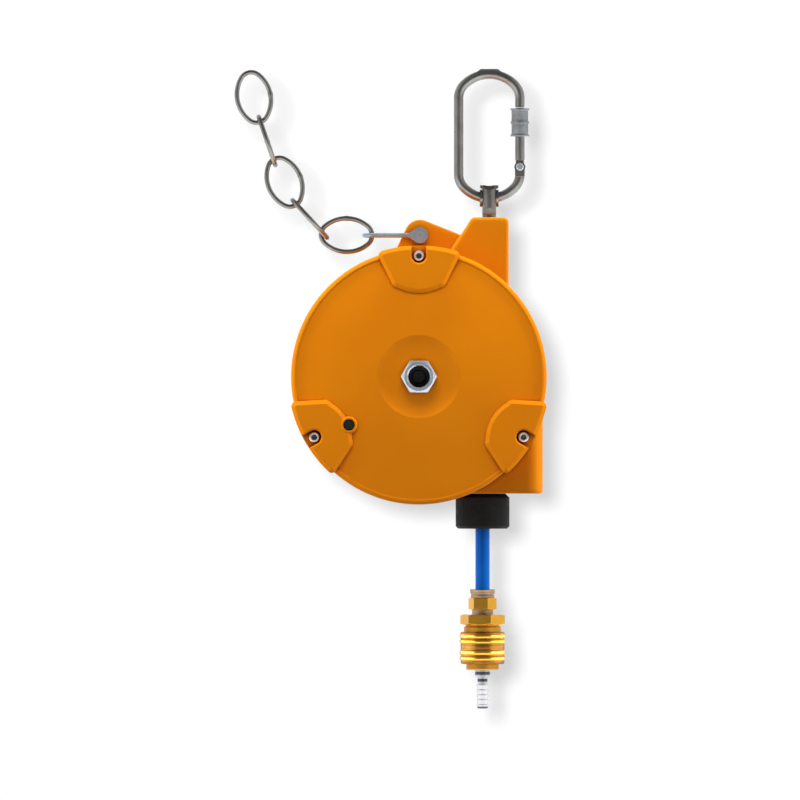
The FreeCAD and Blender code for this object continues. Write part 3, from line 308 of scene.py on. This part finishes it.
# the CAD pieces whose finish differs from their slot's
FINISH_OF = {
    "plug_nipple": "plug_finish", "gate_rivet": "zinc_steel", "lock_pin": "burnished_and_shade",
    "rear_housing": "orange_housing", "swivel_eye": "forged", "eye_bush": "stainless",
    "coupling_body": "satin_shade_brass", "chain_pin": "bright_zinc", "shackle": "bright_zinc",
}
for name, node in NODES.items():
    node.data.materials.clear()
    node.data.materials.append(MATERIALS[FINISH_OF.get(name, SLOT_OF[name])])


# ---- small helpers: outlines, turned and swept meshes --------------------------------------------


def filleted(points, steps=4):
    """An outline with its corners (radius, height, rounding) rounded off, where a rounding is given."""
    out = []
    count = len(points)
    for i, point in enumerate(points):
        here = Vector(point[:2])
        reach = point[2] if len(point) > 2 else 0
        back, on = Vector(points[i - 1][:2]) - here, Vector(points[(i + 1) % count][:2]) - here
        if not reach or back.length < 1e-9 or on.length < 1e-9:
            out.append(tuple(here))
            continue
        reach = min(reach, 0.45 * back.length, 0.45 * on.length)
        start, end = here + back.normalized() * reach, here + on.normalized() * reach
        for k in range(steps + 1):
            t = k / steps
            p = start * (1 - t) ** 2 + here * 2 * t * (1 - t) + end * t**2
            out.append(tuple(p))
    return out


def skin(name, verts, rings, sides):
    """A mesh over rings of points, each joined to the next."""
    faces = []
    for i in range(rings):
        j = (i + 1) % rings
        for k in range(sides):
            n = (k + 1) % sides
            faces.append((i * sides + k, i * sides + n, j * sides + n, j * sides + k))
    mesh = bpy.data.meshes.new(name)
    mesh.from_pydata(verts, [], faces)
    return cleaned(mesh)


def turned_mesh(name, outline, sides=96, reshape=None):
    """A closed outline of (radius, height) turned about Z; reshape(r, z, angle) may change the radius."""
    verts = []
    for r, z in outline:
        for k in range(sides):
            a = 2 * math.pi * k / sides
            radius = reshape(r, z, a) if reshape else r
            verts.append((radius * math.cos(a), radius * math.sin(a), z))
    return skin(name, verts, len(outline), sides)


def swept_mesh(name, path, radius, normal, sides=20):
    """A round wire along a closed flat path, square to normal; radius(share of the path) is its radius."""
    verts = []
    count = len(path)
    for i, p in enumerate(path):
        ahead = (path[(i + 1) % count] - path[i - 1]).normalized()
        side = ahead.cross(normal).normalized()
        r = radius(i / count)
        for k in range(sides):
            a = 2 * math.pi * k / sides
            verts.append(p + (side * math.cos(a) + normal * math.sin(a)) * r)
    return skin(name, verts, count, sides)


SHARP = math.radians(32)    # an edge that turns more than this stays sharp


def cleaned(mesh):
    """Merges doubles, turns faces outwards and marks sharp edges."""
    work = bmesh.new()
    work.from_mesh(mesh)
    bmesh.ops.remove_doubles(work, verts=work.verts, dist=1e-7)
    bmesh.ops.dissolve_degenerate(work, edges=work.edges, dist=1e-8)
    bmesh.ops.recalc_face_normals(work, faces=work.faces)
    for face in work.faces:
        face.smooth = True
    for edge in work.edges:
        edge.smooth = not (len(edge.link_faces) == 2 and edge.calc_face_angle(0) > SHARP)
    work.to_mesh(mesh)
    work.free()
    return mesh


def piece(name, data, body, slot, place=None, stands_for=(), material=None):
    """A new piece: it rides on a body, if one is given, takes a slot's finish and may stand for CAD nodes."""
    obj = bpy.data.objects.new(name, data)
    scene.collection.objects.link(obj)
    if place is not None:
        data.transform(place)
    if not data.materials:
        data.materials.append(MATERIALS[material or slot])
    if body:
        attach(obj, body)
    if stands_for:
        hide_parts(*stands_for)
    return obj


def two_tone(mesh, rest, other, chosen):
    """One finish for the mesh, and another for the faces that chosen(x, y, z) picks by their centres."""
    mesh.materials.append(MATERIALS[rest])
    mesh.materials.append(MATERIALS[other])
    for face in mesh.polygons:
        face.material_index = int(chosen(*face.center))


def joined(name, meshes):
    """Several meshes with the same materials as one."""
    work = bmesh.new()
    for mesh in meshes:
        work.from_mesh(mesh)
    out = bpy.data.meshes.new(name)
    work.to_mesh(out)
    work.free()
    for material in meshes[0].materials:
        out.materials.append(material)
    return out


def middle(node):
    low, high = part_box(node)
    return (low + high) / 2


def wave(x):
    """A triangle wave of period 1 between 0 and 1."""
    return abs(2 * (x - math.floor(x + 0.5)))


def hexed(flats, turn, low, high):
    """Cuts a turned shape to a hexagon between two heights."""
    def reshape(r, z, a):
        if not low - 1e-9 <= z <= high + 1e-9:
            return r
        sector = (a - turn) % (math.pi / 3) - math.pi / 6
        return min(r, flats / 2 / math.cos(sector))
    return reshape


def threaded(low, high, pitch, depth, outside=True):
    """Cuts a thread between two heights into the radius that the outline gives there."""
    def reshape(r, z, a):
        if not low < z < high:
            return r
        ease = min(1.0, (z - low) / pitch, (high - z) / pitch)
        cut = depth * ease * wave(z / pitch - a / 2 / math.pi)
        return r - cut if outside else r + cut
    return reshape


def rows(low, high, step):
    """Evenly spaced heights, both ends included."""
    count = max(1, round(abs(high - low) / step))
    return [low + (high - low) * i / count for i in range(count + 1)]


TO_FRONT = Matrix.Rotation(math.pi / 2, 4, "X")     # turns +Z to -Y: heights become distances in front
POLE = 0.0005 * MM          # a radius so small that cleaned() makes one point of its ring


# ---- snap hook -----------------------------------------------------------------------------------


def lock_sleeve():
    """The hook's locking sleeve: two knurled bands between end flanges, with a plain ring in the middle."""
    low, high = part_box("lock_sleeve")
    outer, bore = (high.x - low.x) / 2, 3.08 * MM
    length = high.z - low.z
    flange, ring_half = 1.3 * MM, 0.8 * MM
    band, ring = outer - 0.55 * MM, outer - 0.1 * MM
    centre = length / 2
    edge = 0.25 * MM
    outline = [(bore, 0, edge), (outer, 0, edge), (outer, flange, edge), (band, flange)]
    outline += [(band, z) for z in rows(flange, centre - ring_half, 0.3 * MM)[1:]]
    outline += [(ring, centre - ring_half, edge), (ring, centre + ring_half, edge)]
    outline += [(band, z) for z in rows(centre + ring_half, length - flange, 0.3 * MM)]
    outline += [(outer, length - flange, edge), (outer, length, edge), (bore, length, edge)]

    def knurl(r, z, a):
        if abs(r - band) > 1e-7:
            return r
        teeth, lead, depth = 30, 14 * MM, 0.32 * MM
        cross = wave(teeth * (a / 2 / math.pi + z / lead)) * wave(teeth * (a / 2 / math.pi - z / lead))
        return r - depth * (1 - cross)

    shape = turned_mesh("lock_sleeve_knurled", filleted(outline), 180, knurl)
    place = Matrix.Translation(((low.x + high.x) / 2, 0, low.z))
    piece("lock_sleeve_knurled", shape, "lock_sleeve", "stainless", place, ["lock_sleeve"], "dull_zinc")


# ---- axle and cover screws -----------------------------------------------------------------------


G14_PITCH, G14_DEPTH = 1.337 * MM, 0.55 * MM            # the thread of the air inlet
M12_PITCH, M12_DEPTH = 1.75 * MM, 0.9 * MM              # the thread at the axle's rear


def axle():
    """The hollow axle: a chamfered hexagon with the air thread in it, and a thread with a nut at the rear."""
    low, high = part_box("inlet_axle")
    centre = middle("axle_nut")
    front, rear = -low.y, -high.y
    corners = (high.x - low.x) / 2
    flats = 2 * corners * math.cos(math.pi / 6)
    seat, bore, journal, stub = front - 8.5 * MM, 6.58 * MM, 8 * MM, 6 * MM
    collar, nut_seat = seat - 6.5 * MM, -33 * MM
    channel, channel_end = 3.75 * MM, front - 22 * MM
    step, depth = 4.5 * MM, front - 12 * MM
    # the hexagon with its chamfer, the journal, then the rear thread
    chamfer = [(flats / 2 - 0.9 * MM + 0.35 * MM * i, front - 0.3 * MM * i) for i in range(9)]
    outline = [(bore + 0.9 * MM, front)]
    outline += [(r, z) for r, z in chamfer if r < corners] + [(corners, front - 2.2 * MM), (corners, seat)]
    outline += filleted([(journal + MM, seat), (journal + MM, collar, 0.3 * MM), (journal, collar),
                         (journal, nut_seat), (stub, nut_seat)])
    outline += [(stub, z) for z in rows(nut_seat - 0.5 * MM, rear + MM, 0.25 * MM)]
    outline += [(stub - M12_DEPTH, rear), (POLE, rear)]
    # back to the front through the air channel and the inlet's thread
    outline += [(POLE, channel_end), (channel, channel_end), (channel, depth - 4 * MM),
                (step, depth - 4 * MM), (step, depth), (bore, depth)]
    outline += [(bore, z) for z in rows(depth + 0.5 * MM, front - 0.8 * MM, 0.2 * MM)]
    hexagon = hexed(flats, 0, seat, front)
    inner = threaded(depth + 0.4 * MM, front - 0.3 * MM, G14_PITCH, G14_DEPTH, outside=False)
    outer = threaded(rear, nut_seat - 0.4 * MM, M12_PITCH, M12_DEPTH)

    def reshape(r, z, a):
        if abs(r - bore) < 1e-7:
            return inner(r, z, a)
        if abs(r - stub) < 1e-7:
            return outer(r, z, a)
        return hexagon(r, z, a)

    # painted shade: the faces inside the inlet bore take the near-black finish, for the deep shade in the
    # bore
    def bore_shade_faces(x, y, z):
        return 0 < z < front - 0.8 * MM and math.hypot(x, y) < bore + 0.62 * MM

    shape = turned_mesh("inlet_axle_threaded", outline, 120, reshape)
    two_tone(shape, "zinc_steel", "burnished_and_shade", bore_shade_faces)
    place = Matrix.Translation((centre.x, 0, centre.z)) @ TO_FRONT
    piece("inlet_axle_threaded", shape, "casing", "zinc_steel", place, ["inlet_axle"])


def screws():
    """Three socket-head screws, one in each pad of the cover."""
    low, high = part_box("cover_screws")
    centre = middle("axle_nut")
    head, socket, shank = 3.2 * MM, 1.74 * MM, 1.95 * MM
    reach = high.z - head - centre.z
    front, tip = -low.y, -high.y
    seat, floor = front - 4 * MM, front - 2.4 * MM
    outline = filleted([(POLE, tip), (shank, tip, 0.4 * MM), (shank, seat), (head, seat, 0.2 * MM),
                        (head, front, 0.6 * MM), (socket + 0.2 * MM, front, 0.2 * MM),
                        (socket, front - 0.3 * MM), (socket, floor), (POLE, floor)])
    key = hexed(3 * MM, 0, floor, front - 0.25 * MM)

    def reshape(r, z, a):
        return key(r, z, a) if r < 1.8 * MM else r

    # painted shade: the faces in the socket take the darker spring steel
    def socket_shade_faces(x, y, z):
        return math.hypot(x, y) < socket + 0.1 * MM and z > floor - 0.1 * MM

    heads = []
    for angle in (90, 210, 330):
        screw = turned_mesh("screw", outline, 48, reshape)
        two_tone(screw, "nickel", "spring_steel", socket_shade_faces)
        a = math.radians(angle)
        place = (centre.x + reach * math.cos(a), 0, centre.z + reach * math.sin(a))
        screw.transform(Matrix.Translation(place) @ TO_FRONT)
        heads.append(screw)
    mesh = joined("cover_screws_turned", heads)
    piece("cover_screws_turned", mesh, BODY_OF["cover_screws"], SLOT_OF["cover_screws"], None,
          ["cover_screws"])


# ---- hose end ------------------------------------------------------------------------------------


HEX_CORNERS = {"hose_nut": 17.8 * MM, "coupling_adapter": 28.3 * MM}    # across corners
HEX_TURN = math.radians(-9)


def hose_axis():
    centre = middle("coupling_body")
    return centre.x, centre.y


def on_hose_axis():
    return Matrix.Translation((*hose_axis(), 0))


def hex_piece(name, node, bore, stub=None):
    """A hexagon of the hose end with chamfered corners; stub is a plain top part: (radius, height)."""
    low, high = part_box(node)
    top = high.z if stub is None else stub[1]
    corners = HEX_CORNERS[node] / 2
    flats = 2 * corners * math.cos(math.pi / 6)
    rim = flats / 2 - 0.1 * MM
    drop = (corners - rim) * 0.3
    outline = [(bore, low.z), (rim, low.z)]
    outline += [(rim + (corners - rim) * i / 5, low.z + drop * i / 5) for i in range(1, 6)]
    outline += [(corners, z) for z in rows(low.z + drop, top - drop, 1.5 * MM)[1:]]
    outline += [(rim + (corners - rim) * i / 5, top - drop * i / 5) for i in range(4, -1, -1)]
    if stub is not None:
        outline += [(stub[0], top), (stub[0], high.z)]
    outline += [(bore, high.z)]
    shape = turned_mesh(name, outline, 120, hexed(flats, HEX_TURN, low.z, top))
    if stub is not None:
        two_tone(shape, "brass", "dull_brass", lambda x, y, z: z > top + 0.01 * MM)
    piece(name, shape, "hose_end", "brass", on_hose_axis(), [node])


def ferrule():
    """The compression end's ferrule: a collar, a groove and a shoulder that widens to the top."""
    low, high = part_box("hose_ferrule")
    outer, inner = (high.x - low.x) / 2, 4.5 * MM
    collar, groove, shoulder = outer - 0.5 * MM, outer - 0.7 * MM, outer - 0.2 * MM
    round_edge = 0.3 * MM

    def up(share):
        return low.z + share * (high.z - low.z)

    outline = [(inner, low.z), (collar, low.z, round_edge), (collar, up(0.30), round_edge),
               (groove, up(0.36)), (groove, up(0.44)), (shoulder, up(0.5), round_edge),
               (shoulder, up(0.78), round_edge), (outer, up(0.84), round_edge), (outer, high.z, 0.5 * MM),
               (inner, high.z, round_edge)]
    shape = turned_mesh("hose_ferrule_turned", filleted(outline))
    piece("hose_ferrule_turned", shape, "hose_end", "brass", on_hose_axis(), ["hose_ferrule"], "dull_brass")


# the coupling sleeve's raised rings: top and bottom below its top, and whether they are full height
RINGS = ((1.2, 3.9, True), (4.8, 7.1, True), (8.2, 10.3, False), (11.4, 14.3, True), (15.4, 17.8, True))


def sleeve():
    """The coupling's sliding sleeve, with two pairs of rounded ribs and a low ring between them."""
    low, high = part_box("coupling_sleeve")
    outer, top = (high.x - low.x) / 2, high.z
    valley, low_ring = outer - 0.8 * MM, outer - 0.68 * MM
    bore, end_bore, land = 11.75 * MM, 10.3 * MM, low.z + 6 * MM
    outline = [(bore, top), (valley - 0.4 * MM, top), (valley, top - 0.4 * MM)]
    for start, end, full in RINGS:
        upper, lower = top - start * MM, top - end * MM
        rise = (outer if full else low_ring) - valley
        outline.append((valley, upper))
        for i in range(1, 10):
            a = math.pi * i / 10
            z = (upper + lower) / 2 + (upper - lower) / 2 * math.cos(a)
            outline.append((valley + rise * math.sin(a) ** 0.45, z))
        outline.append((valley, lower))
    outline += [(valley, low.z + 0.9 * MM), (valley - 0.5 * MM, low.z), (end_bore, low.z), (end_bore, land),
                (bore, land)]
    shape = turned_mesh("coupling_sleeve_ribbed", outline, 128)
    # painted shade: faces below the ribs' crests take the darker brass
    two_tone(shape, "brass", "groove_shade_brass", lambda x, y, z: math.hypot(x, y) < outer - 0.45 * MM)
    piece("coupling_sleeve_ribbed", shape, "coupling_sleeve", "brass", on_hose_axis(), ["coupling_sleeve"])


def shortening_spring():
    """The sleeve's spring, on a mesh of its own; the real one keeps its top in place and shortens as the
    sleeve is drawn up.
    """
    node = NODES["sleeve_spring"]
    coils = piece("sleeve_spring_coils", node.data.copy(), "hose_end", "spring_steel",
                  node.matrix_world.copy(), ["sleeve_spring"])
    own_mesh(coils)


def coupling():
    """The fittings on the end of the hose."""
    ferrule()
    hex_piece("hose_nut_hexagon", "hose_nut", 4.5 * MM)
    stub_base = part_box("coupling_adapter")[0].z + 6.4 * MM
    hex_piece("coupling_adapter_hexagon", "coupling_adapter", 3 * MM, (6.7 * MM, stub_base))
    sleeve()
    shortening_spring()


# ---- hose ----------------------------------------------------------------------------------------


def hose():
    """The hose: its free length below the casing, and the length that is drawn out behind it."""
    low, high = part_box("free_hose")
    x, y = (low.x + high.x) / 2, (low.y + high.y) / 2
    radius = (high.x - low.x) / 2
    exit_z = high.z
    length = high.z - low.z
    curve = bpy.data.curves.new("free_hose_run", "CURVE")
    curve.dimensions = "3D"
    curve.bevel_depth = radius
    curve.bevel_resolution = 10
    curve.resolution_u = 8
    curve.use_fill_caps = True
    spline = curve.splines.new("NURBS")
    count = 6
    spline.points.add(count - 1)
    for i, point in enumerate(spline.points):
        point.co = (x, y, exit_z - length * i / (count - 1), 1)
    spline.order_u = 3
    spline.use_endpoint_u = True
    obj = piece("free_hose_run", curve, "hose_end", "blue_hose", None, ["free_hose"])

    low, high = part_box("hose_feed")
    bore = radius - 1.5 * MM
    outline = [(bore, low.z)] + [(radius, z) for z in rows(low.z, high.z, 1.0 * MM)] + [(bore, high.z)]
    tube = turned_mesh("hose_drawn_out", outline, 48)
    obj = piece("hose_drawn_out", tube, None, "blue_hose", Matrix.Translation((x, y, 0)), ["hose_feed"])
    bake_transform(obj)


# ---- chain ---------------------------------------------------------------------------------------


def oval_path(half_length, half_width, end_radius):
    """The middle line of a link in the XZ plane: two end arcs and two side arcs, tangent to each other."""
    reach = half_length - end_radius
    shift = (reach**2 - (half_width - end_radius) ** 2) / (2 * (half_width - end_radius))
    side = half_width + shift
    lean = math.atan2(reach, shift)
    quarter = [(side * math.cos(a) - shift, side * math.sin(a)) for a in (lean * i / 12 for i in range(12))]
    quarter += [(end_radius * math.cos(a), reach + end_radius * math.sin(a))
                for a in (lean + (math.pi / 2 - lean) * i / 14 for i in range(15))]
    upper = quarter + [(-x, z) for x, z in reversed(quarter[:-1])]
    loop = upper + [(x, -z) for x, z in reversed(upper[1:-1])]
    return [Vector((x, 0, z)) for x, z in loop]


def chain_link(number, lean, face_on):
    """A welded link: a bent wire with a low bead where its ends meet, on the middle of one side."""
    node = f"chain_link_{number}"
    path = oval_path(16 * MM, 10.5 * MM, 7.2 * MM)
    wire, bead, reach = 1.5 * MM, 0.22 * MM, 1.6 * MM

    def radius(share):
        distance = (path[round(share * len(path)) % len(path)] - path[0]).length
        return wire + bead * math.exp(-((distance / reach) ** 2) * 2.2)

    mesh = swept_mesh(node + "_welded", path, radius, Vector((0, 1, 0)))
    quarter = 0 if face_on else math.pi / 2
    turn = Matrix.Rotation(math.radians(lean), 4, "Y") @ Matrix.Rotation(quarter, 4, "Z")
    place = Matrix.Translation(middle(node)) @ turn
    piece(node + "_welded", mesh, f"link_{number}", "stainless", place, [node])


# each link's lean from the vertical in degrees, and whether it shows its face; link 1 is the free end
LINKS = ((1, -11, True), (2, -18.9, False), (3, -22, True), (4, -42.7, False), (5, -89, True))


def chain():
    for number, lean, face_on in LINKS:
        chain_link(number, lean, face_on)


lock_sleeve()
axle()
screws()
coupling()
hose()
chain()


# ---- stage and light -----------------------------------------------------------------------------

BACKDROP_Y = 1.4
FLOOR_Z = -1.45
PAPER_GLOW = 0.44           # what the paper adds to its lit white, to the camera and in reflections
FLOOR_SHINE = 1.35          # what the floor gives to reflections instead
FADE = 0.6                  # the height over which the one becomes the other


def backdrop_material():
    """White paper: white to the camera and in reflections, with the object's soft shadow; one-sided."""
    material = bpy.data.materials.new("paper")
    material.use_nodes = True
    t = Nodes(material.node_tree)
    t.nodes.clear()
    ray, place = t.add("ShaderNodeLightPath").outputs, t.add("ShaderNodeNewGeometry").outputs
    seen = t.maths("MULTIPLY", ray["Is Camera Ray"], PAPER_GLOW)
    floor = t.spread(t.part(place["Position"], "Z"), FLOOR_Z, FLOOR_Z + FADE, FLOOR_SHINE, PAPER_GLOW)
    shine = t.add("ShaderNodeEmission", Strength=t.maths("MULTIPLY_ADD", ray["Is Glossy Ray"], floor, seen))
    paper = t.add("ShaderNodeAddShader")
    t.put(paper.inputs[0], t.add("ShaderNodeBsdfDiffuse", Color=(0.4, 0.4, 0.4, 1)).outputs[0])
    t.put(paper.inputs[1], shine.outputs[0])
    front_only = t.add("ShaderNodeMixShader")
    t.put(front_only.inputs[0], place["Backfacing"])
    t.put(front_only.inputs[1], paper.outputs[0])
    t.put(front_only.inputs[2], t.add("ShaderNodeBsdfTransparent").outputs[0])
    t.add("ShaderNodeOutputMaterial", Surface=front_only.outputs[0])
    return material


def sweep():
    """A floor that curves up into a wall behind the object."""
    half, front, bend = 7.0, -7.0, 0.6
    profile = [(front, FLOOR_Z), (BACKDROP_Y - bend, FLOOR_Z)]
    for i in range(1, 13):
        a = math.pi / 2 * i / 12
        profile.append((BACKDROP_Y - bend + bend * math.sin(a), FLOOR_Z + bend - bend * math.cos(a)))
    profile.append((BACKDROP_Y, 5.0))
    mesh = bpy.data.meshes.new("backdrop")
    verts = [(x, y, z) for y, z in profile for x in (-half, half)]
    faces = [(2 * i, 2 * i + 1, 2 * i + 3, 2 * i + 2) for i in range(len(profile) - 1)]
    mesh.from_pydata(verts, [], faces)
    for p in mesh.polygons:
        p.use_smooth = True
    obj = bpy.data.objects.new("backdrop", mesh)
    scene.collection.objects.link(obj)
    mesh.materials.append(backdrop_material())
    return obj


def lit_by(source, state, receivers):
    """Makes a lamp light the receivers alone (INCLUDE) or everything else (EXCLUDE)."""
    group = bpy.data.collections.new(source.name + "_on")
    for obj in receivers:
        group.objects.link(obj)
    for member in group.collection_objects:
        member.light_linking.link_state = state
    source.light_linking.receiver_collection = group


def lamp(name, place, target, size, power, shiny=True, receivers=None):
    """A rectangular lamp; it lights all but the backdrop, or the receivers alone."""
    data = bpy.data.lights.new(name, "AREA")
    data.shape = "RECTANGLE"
    data.size, data.size_y = size
    data.energy = power
    obj = bpy.data.objects.new(name, data)
    scene.collection.objects.link(obj)
    obj.location = place
    obj.rotation_euler = (Vector(target) - Vector(place)).to_track_quat("-Z", "Y").to_euler()
    obj.visible_camera = False
    obj.visible_glossy = shiny
    if receivers:
        lit_by(obj, "INCLUDE", receivers)
    else:
        lit_by(obj, "EXCLUDE", [backdrop])


backdrop = sweep()
# the key lights the front, the crown the top edges, the two rims the side edges, and the strips the
# coupling sleeve's ribs alone
lamp("key", (-0.1, -0.4, 0.3), (-0.05, 0, -0.1), (0.3, 0.3), 1.45, shiny=False)
lamp("crown", (-0.05, -0.045, 0.6), (-0.05, -0.03, 0), (0.4, 0.06), 4.5, shiny=False)
for side in (-1, 1):
    lamp(f"rim_{side}", (side * 0.75 - 0.06, -0.055, -0.1), (-0.06, -0.04, -0.15), (0.06, 0.6), 4.5,
         shiny=False)
ribs = [bpy.data.objects["coupling_sleeve_ribbed"]]
for side in (-1, 1):
    lamp(f"strip_{side}", (side, 0, -0.36), (0, 0, -0.36), (1.9, 0.35), 9.0, receivers=ribs)

# the only lamp on the backdrop: beside the camera, so that the shadow falls a little to the lower right
shadow_lamp = bpy.data.objects.new("shadow_lamp", bpy.data.lights.new("shadow_lamp", "POINT"))
scene.collection.objects.link(shadow_lamp)
shadow_lamp.location = (VIEW_CENTRE[0] - 0.085, -CAMERA_DISTANCE, VIEW_CENTRE[1] + 0.07)
shadow_lamp.data.energy = 6400
shadow_lamp.data.shadow_soft_size = 0.07
lit_by(shadow_lamp, "INCLUDE", [backdrop])

world = bpy.data.worlds.new("world")
scene.world = world
world.use_nodes = True


def studio_world():
    """White to the camera; otherwise bright at both sides, and above as well except in reflections."""
    t = Nodes(world.node_tree)
    background = next(n for n in t.nodes if n.type == "BACKGROUND")
    way = t.add("ShaderNodeTexCoord").outputs["Generated"]
    ray = t.add("ShaderNodeLightPath").outputs
    sides = t.spread(t.maths("ABSOLUTE", t.part(way, "X")), 0.45, 0.8, 0.21, 0.85, "SMOOTHSTEP")
    above = t.spread(t.part(way, "Z"), -0.2, 0.9, 0.0, 0.5, "SMOOTHSTEP")
    ceiling = t.maths("MULTIPLY", above, t.maths("SUBTRACT", 1.0, ray["Is Glossy Ray"]))
    total = t.maths("ADD", sides, ceiling)
    t.put(background.inputs["Color"], (1, 1, 1, 1))
    t.put(background.inputs["Strength"], t.maths("MAXIMUM", total, ray["Is Camera Ray"]))


studio_world()
scene.view_settings.view_transform = "Standard"
